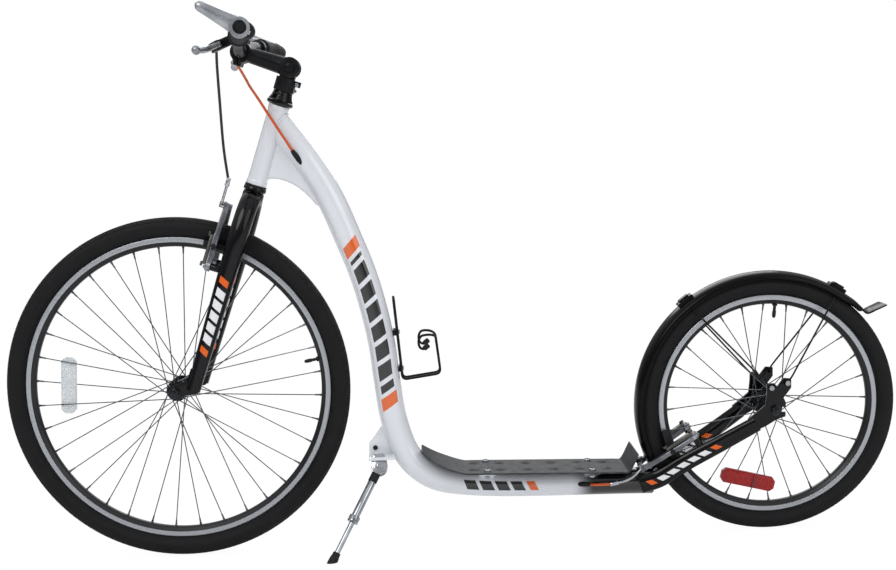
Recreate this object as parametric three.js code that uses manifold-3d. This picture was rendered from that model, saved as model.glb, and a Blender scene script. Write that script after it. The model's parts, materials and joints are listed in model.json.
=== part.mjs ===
// A kick bike: a low deck between a large front wheel and a small rear wheel, with a handlebar,
// two rim brakes, a bottle cage, a rear mudguard and a side stand.
// Millimetres. In the bike's own frame X runs back from the front axle, Y to the rider's right and
// Z up from the ground. The finished bike leans onto its stand, with the origin on the ground
// under the middle of its box.
import * as THREE from "three";
import { mergeVertices } from "three/addons/utils/BufferGeometryUtils.js";
import Module from "manifold-3d";

const wasm = await Module();
wasm.setup();

// General
const gap = 0.3; // clearance between two pieces that touch
const overrun = 60; // how far a cutter runs past what it cuts
const weldSize = 0.001; // corners closer than this are one corner
const flatness = 0.02; // faces this near to one plane are one face
const leanDegrees = 2; // the bike's lean onto its stand

// Wheels
const wheelbase = 1117;
const frontTyreRadius = 323;
const rearTyreRadius = 244;
const frontBeadRadius = 279.5;
const rearBeadRadius = 203;
const tyreHalfWidth = 21.5;
const tyreWall = 3.5;
const treadDepth = 5;
const crownHalfWidth = 7;
const rimFlangeHeight = 6.5;
const rimHalfWidth = 12.5;
const rimWall = 2;
const rimDepth = 18;
const rimBedHalfWidth = 5;
const rimShoulder = 7;
const spokeRadius = 1.1;
const spokeOffset = 2.2; // spokes lie this far outside or inside the flange's middle
const spokeCrossings = 3;
const spokeBedShare = 0.5; // how far the rim holes stand apart in the bed
const frontSpokes = 36;
const rearSpokes = 28;
const flangeOffset = 29;
const flangeThickness = 3;
const hubBodyRadius = 12;
const frontFlangeRadius = 20;
const rearFlangeRadius = 24;
const axleRadius = 4.8;
const hubBoreClearance = 0.4;
const coneRadius = 8;
const frontHubWidth = 100; // between the insides of the fork ends
const rearHubWidth = 135;
const frontHubEnd = 36; // half the length of the hub's shell
const rearHubEnd = 42;
const nutThickness = 8;
const nutRadius = 9.5;
const washerRadius = 11.5;
const washerThickness = 2;
const axleTail = 3; // thread that shows past the nut
const frontValveAngle = 9.6;
const rearValveAngle = 84.7;
const valveRadius = 4;
const valveLength = 30;
const reflectorLength = 106;
const reflectorWidth = 28;
const reflectorThickness = 9;
const frontReflectorAngle = 176;
const rearReflectorAngle = 255.6;
const frontReflectorReach = 208; // from the axle to the reflector's middle
const rearReflectorReach = 153;

// Steering: heights are along the steering axis, from the bottom of the head tube
const headAngle = 70.3;
const forkRake = 31;
const axleDrop = 410;
const headLength = 151;
const headRadius = 18;
const headBore = 15.5;
const headBandHeight = 1;
const headBandWidth = 8;
const steererRadius = 14.3;
const steererBore = 12;
const steererTop = 200;
const cupDepth = 12;
const cupRadius = 21;
const upperCupRadius = 24.3;
const upperCupHeight = 8.7;
const skirtLength = 14; // how far a cup reaches into the head tube
const coverHeight = 18;
const coverTopRadius = 17.5;
const coverFootRadius = 22.5;

// Fork
const bladeSpread = 53; // the blades' middles, to each side
const bladeFootRadius = 13;
const bladeTopRadius = 18;
const bladeWall = 2.5;
const bladeFootDrop = 396;
const bladeBendDrop = 112;
const crownDrop = 28;
const crownRadius = 19.5;
const crownSpread = 15;
const crownHalfHeight = 14;
const crownLip = 2;
const crownEaseShare = 0.4;
const crownTurnShare = 0.55;
const forkEndThickness = 5;
const forkEndRadius = 14;
const endLip = 3; // the fork end's edge from the blade's skin
const endTabHeight = 39;

// Brakes, in a frame whose X runs out from the arms' back and whose Z runs along the arms
const bossSpread = 44;
const bossRadius = 7;
const postRadius = 4;
const postEnd = 1; // the post ends this far inside the arm's face
const armThickness = 9;
const armLength = 109;
const armHalfWidth = 8;
const armHeadRadius = 10;
const armTopSpread = 27;
const armTopRadius = 6;
const armShares = [
  [0, 0, 1],
  [0.34, 0.12, 0.8],
  [0.69, 0.47, 0.7],
  [1, 1, 0.56],
]; // height, how far drawn in, width
const cradleHalf = 4;
const cradleHeight = 11;
const cradlePlay = 1.5; // the arm's head slides along the noodle
const armBoltRadius = 6.5;
const armBoltHeight = 4;
const armSwing = 3; // degrees that a full pull turns each arm
const padRest = 0.2; // how near the rim the pad then stands
const padThickness = 10;
const padHeight = 10;
const padLength = 60;
const padStudRadius = 2.7;
const padStudTail = 2;
const padNutRadius = 5.5;
const padNutHeight = 4;
const frontPivotDrop = 166;
const frontPivotReach = 34;
const rearPivotX = 971;
const rearPivotZ = 191;
const rearArmAngle = 33.4; // below straight ahead
const rearPadAngle = 13.4; // from the arm's run
const rearBossLength = 27;
const noodleRadius = 2.6;
const noodleCorner = 15.6;
const noodleOut = 42; // from the middle plane to the noodle's upright part
const noodleIn = 11; // from the middle plane to its end
const frontNoodleTop = 161; // from the pivots to the front noodle's upper end
const rearNoodleOut = 46;

// Stem and handlebar
const stemClampRadius = 19;
const stemClampTop = 203;
const stemLugRadius = 6;
const stemLugReach = 21;
const stemLugHeight = 199;
const stemSlit = 2;
const stemPivotHeight = 223;
const knuckleRadius = 16;
const knuckleHalfWidth = 12;
const neckHalfLength = 14;
const cheekRadius = 19;
const cheekThickness = 6.5;
const stemLength = 92;
const stemRootHalfHeight = 17;
const stemFrontHalfHeight = 13.5;
const stemTuck = 3; // how far the arm's flanks draw in
const barClampRadius = 19.5;
const barClampHalfWidth = 21;
const clampLugHeight = 6;
const clampLugHalfLength = 7;
const stemBoltRadius = 4;
const stemBoltHeadRadius = 8;
const stemBoltHeadHeight = 4;
const barRadius = 11.1;
const barCentreRadius = 12.7;
const barCentreHalf = 42;
const barBendReach = 100;
const barHalfWidth = 300;
const barBendSweep = 7.5;
const barBendRise = 16;
const barSweep = 34.5;
const barRise = 19.5;
const barWall = 2;

// Grips, bar ends and levers, along the bar's outer run from its bend
const gripStart = 66;
const gripRadius = 16;
const wingReach = 11;
const wingDroop = 15; // degrees below straight back
const gripShares = [
  [0, 1.19, 0],
  [0.02, 1.19, 0],
  [0.035, 1, 0],
  [0.35, 1, 0],
  [0.5, 1, 0.3],
  [0.65, 1, 0.75],
  [0.8, 1, 1],
  [0.94, 1, 0.9],
  [1, 0.95, 0.6],
]; // place along the grip, radius, wing
const hornWidth = 16;
const hornRingRadius = 17;
const hornLength = 80;
const hornRise = 30; // degrees above straight ahead
const hornRootHalfWidth = 15;
const hornTipHalfWidth = 8;
const hornThickness = 7;
const hornTipShare = 0.85;
const hornCurveShare = 0.7;
const leverPlace = 48;
const leverDroop = 22; // degrees below straight ahead
const leverClampWidth = 13;
const leverClampRadius = 16;
const leverBodyThickness = 16;
const leverPivotReach = 40;
const leverPivotOffset = 12;
const leverPinRadius = 2.5;
const leverInboard = 10; // the housing's inboard end from the clamp's middle
const leverNose = 14;
const leverShoulder = 8;
const leverRootRadius = 7.5;
const bladeThickness = 10;
const bladeReach = 78;
const bladeSpan = 92;
const bladeHalfWidth = 5.5;
const bladeTipRadius = 8;
const bladeShares = [
  [-0.05, -0.15, 0.9],
  [0, 0, 1.1],
  [0.45, 0.16, 1],
  [0.66, 0.35, 0.95],
  [0.78, 0.62, 0.9],
  [1, 1, 0.8],
]; // ahead of the pivot, out from it, width
const adjusterRadius = 4.5;
const adjusterLength = 20;
const adjusterReach = 44;

// Frame
const tubeRadius = 25.5;
const tubeWall = 2;
const tubeSides = 12;
const tubeHeadHalfWidth = 17;
const tubeStart = 124; // where its middle line leaves the steering axis
const tubeEndX = 893;
const tubeEndZ = 103;
const tubeSwellLength = 100;
const tubeShares = [
  [0, 0],
  [0.08, 0.107],
  [0.136, 0.204],
  [0.183, 0.318],
  [0.2164, 0.4088],
  [0.2404, 0.5],
  [0.2575, 0.59],
  [0.2685, 0.7],
  [0.284, 0.81],
  [0.3206, 0.906],
  [0.3847, 0.9599],
  [0.4846, 0.9823],
  [1, 1],
]; // back, down
const gussetHalfThickness = 9;
const gussetReach = 89;
const gussetShares = [
  [0.2, 0],
  [0.22, 0.117],
  [0.6, 0.137],
  [1, 0.109],
  [0.84, 0.434],
  [0, 0.717],
]; // back from the steering axis, up the head tube
const portRadius = 3.6;
const stayHalfHeight = 18;
const stayHalfWidth = 8;
const staySides = 10;
const stayStartX = 866;
const stayEndX = 1082;
const stayEndZ = 219;
const stayTaperShare = 0.17;
const stayShares = [
  [0, 0, 0],
  [0.17, 0.02, 0.088],
  [0.4, 0.22, 0.354],
  [0.673, 0.5, 0.637],
  [1, 1, 1],
]; // back, out, up
const rearEndThickness = 6;
const rearEndRadius = 17;
const rearEndShares = [
  [-2.7, -2.5],
  [-1.1, -1.8],
  [0.2, -1.05],
  [1.1, -0.8],
  [1.15, 0.8],
  [0.9, 1.3],
  [1.75, 2.4],
  [1.75, 3.4],
  [0.9, 3.5],
  [0.2, 2.6],
  [-0.1, 2.95],
  [-0.9, 2.95],
  [-0.95, 1.9],
  [-1.1, 0.6],
  [-2.2, -0.3],
  [-3, -0.9],
]; // back and up from the axle, in radii
const eyeletRadius = 2.2;
const frontEyeletX = -8;
const frontEyeletZ = 42;
const rearEyeletX = 22;
const rearEyeletZ = 50;

// Deck, in a frame on the tube's middle line that slopes with it
const deckX = 562;
const deckHeight = 28.5; // from the tube's middle to the plate's middle
const deckThickness = 3;
const deckHalfWidth = 60;
const deckFront = 112;
const deckFrontRise = 38;
const deckRear = 276;
const deckKickLength = 20;
const deckKickRise = 35;
const deckNoseShare = 0.55;
const deckCorner = 22;
const deckFrontShares = [
  [1, 1],
  [0.9, 0.76],
  [0.75, 0.5],
  [0.57, 0.27],
  [0.4, 0.1],
  [0.25, 0],
];
const deckRearShares = [
  [0, 0],
  [0.25, 0.12],
  [1, 1],
];
const dimplePitch = 50;
const dimpleCount = 6;
const dimpleStart = -12;
const dimpleRow = 29;
const dimpleRadius = 9;
const dimpleHeight = 2;
const deckBoltFront = 12;
const deckBoltRear = 211;
const deckBoltOffset = 43;
const deckBoltRadius = 3;
const deckBoltHeadRadius = 6.5;
const deckBoltHeadHeight = 3.2;
const deckBoltLength = 14;
const boltCrownShare = 0.6;
const bracketHalfLength = 15;
const bracketThickness = 4;
const bracketHalfWidth = 50;

// Side stand
const standPivotX = 371;
const standPivotY = -35;
const standPivotZ = 160;
const standFootX = 279;
const standFootY = -124;
const standTwist = 20.15; // degrees, how far the pivot's pin dips to the right
const standHeadRadius = 9.5;
const standHeadHalf = 5;
const standEarThickness = 4;
const standEarRadius = 12;
const earShare = 0.85;
const neckShare = 0.9;
const standSleeveRadius = 8.5;
const standPinRadius = 3;
const standUpperRadius = 7.5;
const standLowerRadius = 5;
const standCollarRadius = 10.5;
const standCollarLength = 12;
const standNeck = 14.5;
const standHeadLength = 32;
const standUpperLength = 118;
const standInsert = 26; // how far the lower leg runs up inside the upper one
const standFootRadius = 9;
const standFootLength = 20;
const standFootWall = 2;
const footSoleShare = 0.45;
const standPlateThickness = 6;
const standFlangeThickness = 5;
const standFlangeZ = 178;
const standPlateTop = 236;
const standPlateFront = 352;
const standShoulderShare = 0.35;

// Bottle cage
const cageWire = 2.4;
const cageRadius = 38;
const cageSpineHalf = 12;
const cageLowStrap = 343.4;
const cageHighStrap = 412.7;
const cageLowStandoff = 4.7;
const cageHighStandoff = 7.6;
const cageStrapHalf = 6;
const cageSpineHeight = 130;
const cageFootDrop = 21;
const cageDepth = 70;
const cageHeelRise = 9;
const cageLean = 6;
const cageUprightHeight = 63;
const cageCorner = 10;
const cageArmRise = 20;
const cageArmShares = [
  [0, 0, -0.2],
  [0.03, 0.1, 0.35],
  [0.2, 0.55, 0.65],
  [0.58, 0.88, 0.8],
  [0.9, 1, 0.75],
  [1.05, 1, 0.3],
  [1, 0.98, -0.5],
  [0.82, 0.95, -0.9],
  [0.65, 0.92, -0.75],
]; // ahead of the uprights, out, up

// Mudguard
const guardRadius = 253;
const guardThickness = 2;
const guardHalfWidth = 28;
const guardDepth = 15;
const guardFrontAngle = 206;
const guardRearAngle = 53;
const guardSteps = 12;
const guardNarrowSteps = 3;
const guardNarrowShare = 0.25;
const guardShares = [
  [1, 1],
  [0.94, 0.5],
  [0.72, 0.16],
  [0.38, 0.03],
  [0, 0],
]; // out from the crown, down from it
const guardFlap = 46;
const flapShares = [
  [0.4, 0, 0.95, 0.6, 0],
  [0.8, -0.06, 0.9, 0.3, 0],
  [1.03, -0.1, 0.9, 0.15, 0.3],
  [1.2, 0.15, 0.95, 0.05, 0.6],
  [1.46, 0.58, 1, 0, 0.65],
]; // along the flap, out, width, depth, turn
const wireTurnShare = 0.6;
const wireRadius = 1.7;
const wireStandoff = 16; // how far a stay runs flat beside the rear end
const frontWireAngle = 127;
const rearWireAngle = 58;

// Cables
const housingRadius = 2.5;

// Routes of the cords, as points
const frontCableRoute = [
  [125, -112, 939],
  [123, -96, 936],
  [120, -78, 914],
  [118, -58, 850],
  [118, -45, 765],
  [122.2, -42, 711],
];
const leverCableRoute = [
  [125, 112, 939],
  [124, 97, 936],
  [128, 78, 918],
  [141, 50, 893],
  [156.5, 22.7, 877.5],
];
const headCableRoute = [
  [157, 22, 877],
  [170, 0, 865],
  [181, -17, 850],
  [191, -26, 833],
  [206, -30.5, 811],
  [223, -31, 785],
  [241, -27.5, 757.6],
  [245.6, -25, 750],
];
const tubeCableRoute = [
  [246, -24.8, 749.3],
  [251, -22.1, 741],
  [266, -14, 716],
  [300, -10, 668],
  [334, -8, 589],
  [357, -8, 524],
  [374, -8, 459],
  [385, -8, 395],
  [393, -8, 317],
  [403, -8, 238],
  [428, -8, 170],
  [472, -8, 131.6],
  [540, -8, 115.6],
  [650, -8, 111.7],
  [712, -10, 109],
  [740, -16, 107],
  [754, -23, 107],
  [775, -33, 107],
  [798.8, -45, 109],
  [811.6, -46, 109.9],
];
const portRuns = [
  [[241, -27.5, 757.6], [266, -14, 716]],
  [[735, -14, 107], [775, -33, 107]],
];

const rearNoodleStart = [
  [812, -46, 110],
  [845, -46, 116],
];

// Worked out from the sizes above
const degree = Math.PI / 180;
const quarterTurn = Math.PI / 2;
const tilt = (90 - headAngle) * degree;
const lean = leanDegrees * degree;
const headBottomX = forkRake * Math.cos(tilt) + axleDrop * Math.sin(tilt);
const headBottomZ = frontTyreRadius - forkRake * Math.sin(tilt) + axleDrop * Math.cos(tilt);
const up = new THREE.Vector3(0, 0, 1);
const across = new THREE.Vector3(0, 1, 0);
const along = new THREE.Vector3(1, 0, 0);
const noodleReach = armThickness + noodleRadius + 2 * gap;
const noodleRise = armLength + cradleHeight / 2;

const at = (x, y, z) => new THREE.Vector3(x, y, z);
const flat = (x, y) => new THREE.Vector2(x, y);

// Solids

// A closed geometry as a solid, with its corners welded and its faces turned out.
function solid(geometry, matrix = new THREE.Matrix4()) {
  const bare = new THREE.BufferGeometry();
  bare.setAttribute("position", geometry.getAttribute("position").clone());
  if (geometry.index) bare.setIndex(geometry.index.clone());
  bare.applyMatrix4(matrix);
  const welded = mergeVertices(bare, weldSize);
  const vertProperties = welded.getAttribute("position").array;
  const corners = Array.from(welded.index.array);
  const kept = [];
  for (let first = 0; first < corners.length; first += 3) {
    const [a, b, c] = corners.slice(first, first + 3);
    if (a !== b && b !== c && c !== a) kept.push(a, b, c);
  }
  const made = closed(vertProperties, kept);
  if (made.volume() > 0) return made;
  for (let first = 0; first < kept.length; first += 3) {
    [kept[first + 1], kept[first + 2]] = [kept[first + 2], kept[first + 1]];
  }
  return closed(vertProperties, kept);
}

function closed(vertProperties, corners) {
  const triVerts = new Uint32Array(corners);
  return new wasm.Manifold(new wasm.Mesh({ numProp: 3, vertProperties, triVerts }));
}

function joined(solids) {
  return solids.reduce((whole, one) => whole.add(one));
}

function without(whole, cutters) {
  return cutters.reduce((rest, one) => rest.subtract(one), whole);
}

function shapeOf(made) {
  const mesh = made.getMesh();
  const geometry = new THREE.BufferGeometry();
  geometry.setAttribute("position", new THREE.BufferAttribute(mesh.vertProperties, 3));
  geometry.setIndex(new THREE.BufferAttribute(mesh.triVerts, 1));
  return geometry;
}

function solidMoved(made, matrix) {
  return solid(shapeOf(made), matrix);
}

// A solid as a named mesh in its group.
function piece(parent, name, made, colour, roughness, metalness) {
  const geometry = shapeOf(made.asOriginal().simplify(flatness));
  geometry.computeVertexNormals();
  const material = new THREE.MeshStandardMaterial({ color: colour, roughness, metalness });
  const node = new THREE.Mesh(geometry, material);
  node.name = name;
  parent.add(node);
  return node;
}

function group(parent, place = at(0, 0, 0), turn = new THREE.Euler()) {
  const made = new THREE.Group();
  made.position.copy(place);
  made.rotation.copy(turn);
  parent.add(made);
  return made;
}

// A plate whose outline lies in XZ, from one Y to another.
function plate(outline, fromY, toY, holes = []) {
  const shape = new THREE.Shape(outline.map(([x, z]) => flat(x, z)));
  shape.holes = holes.map((hole) => new THREE.Path(hole.map(([x, z]) => flat(x, z))));
  const geometry = new THREE.ExtrudeGeometry(shape, { depth: toY - fromY, bevelEnabled: false });
  geometry.rotateX(quarterTurn);
  geometry.translate(0, toY, 0);
  return solid(geometry);
}

// A plate whose outline lies in YZ, from one X to another.
function crossPlate(outline, fromX, toX) {
  const shape = new THREE.Shape(outline.map(([y, z]) => flat(y, z)));
  const geometry = new THREE.ExtrudeGeometry(shape, { depth: toX - fromX, bevelEnabled: false });
  const turn = new THREE.Matrix4().makeBasis(across, up, along);
  geometry.applyMatrix4(turn);
  geometry.translate(fromX, 0, 0);
  return solid(geometry);
}

// A plate whose outline lies in XY, from one Z to another.
function layer(outline, fromZ, toZ) {
  const shape = new THREE.Shape(outline.map(([x, y]) => flat(x, y)));
  const geometry = new THREE.ExtrudeGeometry(shape, { depth: toZ - fromZ, bevelEnabled: false });
  geometry.translate(0, 0, fromZ);
  return solid(geometry);
}

function block(fromCorner, toCorner) {
  const size = toCorner.clone().sub(fromCorner);
  const geometry = new THREE.BoxGeometry(size.x, size.y, size.z);
  const middle = fromCorner.clone().add(toCorner).divideScalar(2);
  geometry.translate(middle.x, middle.y, middle.z);
  return solid(geometry);
}

// How far a round solid's flats stand out, as a share of its corners.
function flatShare(sides) {
  return Math.cos(Math.PI / sides);
}

// A round bar or cone between two points.
function bar(from, to, radius, sides = 12, endRadius = radius) {
  const run = to.clone().sub(from);
  const geometry = new THREE.CylinderGeometry(endRadius, radius, run.length(), sides);
  const turn = new THREE.Quaternion().setFromUnitVectors(across, run.clone().normalize());
  const middle = from.clone().add(to).divideScalar(2);
  return solid(geometry, new THREE.Matrix4().compose(middle, turn, at(1, 1, 1)));
}

// A round bar across the bike.
function crossBar(x, z, fromY, toY, radius, sides = 16) {
  return bar(at(x, fromY, z), at(x, toY, z), radius, sides);
}

// A ring of [radius, height] points turned round Y, with a flat on the ground where its steps allow one.
function turned(points, steps) {
  const reach = 1 / flatShare(steps);
  const outline = points.map(([radius, height]) => flat(radius * reach, height));
  outline.push(outline[0].clone());
  return solid(new THREE.LatheGeometry(outline, steps, Math.PI / steps));
}

// The same, turned round Z.
function turnedUp(points, steps) {
  const reach = 1 / flatShare(steps);
  const outline = points.map(([radius, height]) => flat(radius * reach, height));
  outline.push(outline[0].clone());
  const geometry = new THREE.LatheGeometry(outline, steps, Math.PI / steps);
  geometry.rotateX(quarterTurn);
  return solid(geometry);
}

// A skin over closed rings of points, with flat ends.
function loft(rings) {
  const count = rings[0].length;
  const positions = rings.flat().flatMap((point) => point.toArray());
  const corners = [];
  for (let ring = 0; ring + 1 < rings.length; ring += 1) {
    for (let place = 0; place < count; place += 1) {
      const next = (place + 1) % count;
      const [a, b] = [ring * count + place, ring * count + next];
      const [c, d] = [a + count, b + count];
      corners.push(a, b, d, a, d, c);
    }
  }
  const last = (rings.length - 1) * count;
  for (const [a, b, c] of capOf(rings[0])) corners.push(a, c, b);
  for (const [a, b, c] of capOf(rings[rings.length - 1])) corners.push(last + a, last + b, last + c);
  const geometry = new THREE.BufferGeometry();
  geometry.setAttribute("position", new THREE.Float32BufferAttribute(positions, 3));
  geometry.setIndex(corners);
  return solid(geometry);
}

// The triangles of a flat ring, wound the way that the ring runs.
function capOf(ring) {
  const normal = new THREE.Vector3();
  ring.forEach((point, place) => {
    const next = ring[(place + 1) % ring.length];
    normal.add(point.clone().cross(next));
  });
  normal.normalize();
  const side = ring[1].clone().sub(ring[0]).normalize();
  const rise = normal.clone().cross(side);
  const outline = ring.map((point) => flat(point.dot(side), point.dot(rise)));
  return THREE.ShapeUtils.triangulateShape(outline, []);
}

// Points along straight runs whose corners are rounded.
function rounded(points, radius, steps = 2) {
  const line = [points[0]];
  for (let place = 1; place + 1 < points.length; place += 1) {
    const corner = points[place];
    const back = points[place - 1].clone().sub(corner);
    const ahead = points[place + 1].clone().sub(corner);
    const cut = Math.min(radius, back.length() / 2, ahead.length() / 2);
    const start = corner.clone().addScaledVector(back.normalize(), cut);
    const end = corner.clone().addScaledVector(ahead.normalize(), cut);
    line.push(...new THREE.QuadraticBezierCurve3(start, corner, end).getPoints(steps));
  }
  line.push(points[points.length - 1]);
  return line.filter((point, place) => place === 0 || point.distanceTo(line[place - 1]) > weldSize);
}

// A round hole across the bike, whose flats stand no nearer than its radius.
function crossHole(x, z, fromY, toY, radius, sides = 16) {
  return crossBar(x, z, fromY, toY, radius / flatShare(sides), sides);
}

// The same between two points.
function hole(from, to, radius, sides = 12) {
  return bar(from, to, radius / flatShare(sides), sides);
}

// Points along a smooth curve through the given ones, a few to each stretch.
function smooth(points, steps = 2) {
  const curve = new THREE.CatmullRomCurve3(points, false, "centripetal");
  return curve.getPoints((points.length - 1) * steps);
}

// A tube along points, mitred at each one, whose half sizes follow the share of its length that has passed.
function tube(points, sizeAt, sides, reference) {
  const reach = [0];
  points.slice(1).forEach((point, place) => reach.push(reach[place] + point.distanceTo(points[place])));
  let side = reference.clone();
  const rings = points.map((centre, place) => {
    const before = points[Math.max(0, place - 1)];
    const after = points[Math.min(points.length - 1, place + 1)];
    const back = centre.clone().sub(before).normalize();
    const ahead = after.clone().sub(centre).normalize();
    const run = back.clone().add(ahead).normalize();
    side = side.clone().addScaledVector(run, -side.dot(run)).normalize();
    const out = run.clone().cross(side);
    const bend = ahead.clone().sub(back);
    const inside = bend.lengthSq() > 0 && place > 0 && place + 1 < points.length;
    const mitre = inside ? 1 / Math.max(1 / 2, run.dot(ahead)) : 1;
    const fold = mitre > 1 ? bend.addScaledVector(run, -bend.dot(run)).normalize() : out;
    const [sideSize, outSize] = sizeAt(reach[place] / reach[points.length - 1]);
    return Array.from({ length: sides }, (_, corner) => {
      const angle = ((2 * corner + 1) * Math.PI) / sides;
      const offset = side.clone().multiplyScalar(sideSize * Math.cos(angle));
      offset.addScaledVector(out, outSize * Math.sin(angle));
      return centre.clone().add(offset).addScaledVector(fold, offset.dot(fold) * (mitre - 1));
    });
  });
  return loft(rings);
}

// A round rod of one thickness along points.
function rod(points, radius, sides = 5) {
  const first = points[1].clone().sub(points[0]).normalize();
  const reference = Math.abs(first.y) < Math.abs(first.z) ? across : up;
  return tube(points, () => [radius, radius], sides, reference);
}

function cord(route) {
  return rod(smooth(route.map((point) => at(...point))), housingRadius);
}

function noodle(points) {
  return rod(rounded(points, noodleCorner, 3), noodleRadius, 6);
}

// Points on an arc in XZ.
function arc(x, z, radius, fromDegrees, toDegrees, steps) {
  const points = [];
  for (let step = 0; step <= steps; step += 1) {
    const angle = (fromDegrees + ((toDegrees - fromDegrees) * step) / steps) * degree;
    points.push([x + radius * Math.cos(angle), z + radius * Math.sin(angle)]);
  }
  return points;
}

const bike = new THREE.Group();
bike.name = "kick_bike";
const leaning = group(bike, at(0, 0, 0), new THREE.Euler(lean, 0, 0));

// Colours
const frameWhite = "#e9ecf0";
const glossBlack = "#101113";
const satinBlack = "#1c1d1f";
const rubberBlack = "#17171a";
const deckGrey = "#4a4c50";
const silver = "#b9bdc2";
const chrome = "#cfd3d8";
const cableOrange = "#d9581c";
const lensClear = "#dfe6ea";
const lensRed = "#b8201a";

// Wheels

function tyre(beadRadius, tyreRadius, steps) {
  const flange = beadRadius + rimFlangeHeight;
  const side = tyreHalfWidth;
  const bead = rimHalfWidth - rimWall - gap;
  const half = [
    [beadRadius + gap, bead],
    [flange + gap, bead],
    [flange + 4 * tyreWall, side],
    [tyreRadius - 2 * crownHalfWidth, side],
    [tyreRadius, crownHalfWidth],
  ];
  const inner = [
    [tyreRadius - treadDepth, crownHalfWidth],
    [flange + 4 * tyreWall, side - tyreWall],
    [flange + gap, bead - tyreWall],
    [beadRadius + gap, bead - tyreWall],
  ];
  const mirrored = (points) => points.map(([radius, y]) => [radius, -y]).reverse();
  return turned([...half, ...mirrored(half), ...mirrored(inner), ...inner], steps);
}

function rim(beadRadius, steps, valveAngle) {
  const flange = beadRadius + rimFlangeHeight;
  const foot = flange - rimDepth;
  const brakeFoot = flange - rimDepth / 2;
  const half = [
    [flange, rimHalfWidth],
    [brakeFoot, rimHalfWidth],
    [foot, rimBedHalfWidth],
  ];
  const inner = [
    [foot + 2 * rimWall, rimBedHalfWidth],
    [beadRadius, rimShoulder],
    [beadRadius, rimHalfWidth - rimWall],
    [flange, rimHalfWidth - rimWall],
  ];
  const mirrored = (points) => points.map(([radius, y]) => [radius, -y]).reverse();
  const channel = turned([...half, ...mirrored(half), ...mirrored(inner), ...inner], steps);
  return channel.subtract(valve(beadRadius, valveAngle, gap));
}

function valve(beadRadius, valveAngle, clearance = 0) {
  const foot = beadRadius + rimFlangeHeight - rimDepth;
  const outward = at(Math.cos(valveAngle * degree), 0, Math.sin(valveAngle * degree));
  const inEnd = outward.clone().multiplyScalar(foot - valveLength);
  const outEnd = outward.clone().multiplyScalar(foot + 3 * rimWall);
  return bar(inEnd, outEnd, valveRadius + clearance, 8);
}

// Where each spoke leaves its flange and reaches the rim.
function spokeRuns(count, flangeRadius, beadRadius, valveAngle) {
  const foot = beadRadius + rimFlangeHeight - rimDepth - gap;
  const holeRadius = flangeRadius - flangeThickness;
  const runs = [];
  for (let spoke = 0; spoke < count; spoke += 1) {
    const side = spoke % 2 === 0 ? 1 : -1;
    const trailing = Math.floor(spoke / 2) % 2 === 0 ? 1 : -1;
    const rimAngle = valveAngle * degree + ((spoke + 1 / 2) * 2 * Math.PI) / count;
    const hubAngle = rimAngle + (trailing * spokeCrossings * 4 * Math.PI) / count;
    const hubY = side * (flangeOffset + trailing * spokeOffset);
    const rimY = side * rimBedHalfWidth * spokeBedShare;
    const from = at(holeRadius * Math.cos(hubAngle), hubY, holeRadius * Math.sin(hubAngle));
    const to = at(foot * Math.cos(rimAngle), rimY, foot * Math.sin(rimAngle));
    runs.push([from, to]);
  }
  return runs;
}

function hub(flangeRadius, hubEnd, runs) {
  const bore = axleRadius + hubBoreClearance;
  const shoulder = (hubBodyRadius + flangeRadius) / 2;
  const inside = flangeOffset - flangeThickness / 2;
  const outside = flangeOffset + flangeThickness / 2;
  const half = [
    [hubBodyRadius, hubEnd],
    [shoulder, outside],
    [flangeRadius, outside],
    [flangeRadius, inside],
    [hubBodyRadius, inside - hubBodyRadius],
  ];
  const mirrored = half.map(([radius, y]) => [radius, -y]).reverse();
  const shell = turned([[bore, hubEnd], ...half, ...mirrored, [bore, -hubEnd]], 12);
  return joined([shell, ...runs.map(([from, to]) => bar(from, to, spokeRadius, 3))]);
}

function reflector(angleDegrees, reach, runs) {
  const half = reflectorLength / 2;
  const depth = reflectorWidth / 2;
  const corner = depth / 2;
  const outline = [
    [-half, -corner],
    [-half + corner, -depth],
    [half - corner, -depth],
    [half, -corner],
    [half, corner],
    [half - corner, depth],
    [-half + corner, depth],
    [-half, corner],
  ];
  const lens = plate(outline, -reflectorThickness / 2, reflectorThickness / 2);
  const turn = new THREE.Matrix4().makeRotationY(quarterTurn - angleDegrees * degree);
  const place = new THREE.Matrix4().makeTranslation(
    reach * Math.cos(angleDegrees * degree),
    0,
    reach * Math.sin(angleDegrees * degree),
  );
  const placed = solidMoved(lens, place.multiply(turn));
  return without(placed, runs.map(([from, to]) => bar(from, to, spokeRadius + 2 * gap, 4)));
}

// An axle with its cones inside the fork ends and its washers and nuts outside them.
function axle(hubWidth, endThickness, hubEnd) {
  const inner = hubWidth / 2 - gap;
  const washerFrom = hubWidth / 2 + endThickness + gap;
  const washerTo = washerFrom + washerThickness;
  const nutTo = washerTo + nutThickness;
  const parts = [crossBar(0, 0, -nutTo - axleTail, nutTo + axleTail, axleRadius, 8)];
  for (const side of [1, -1]) {
    parts.push(crossBar(0, 0, side * (hubEnd + gap), side * inner, coneRadius, 8));
    parts.push(crossBar(0, 0, side * washerFrom, side * washerTo, washerRadius, 8));
    parts.push(crossBar(0, 0, side * washerTo, side * nutTo, nutRadius, 6));
  }
  return joined(parts);
}

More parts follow.
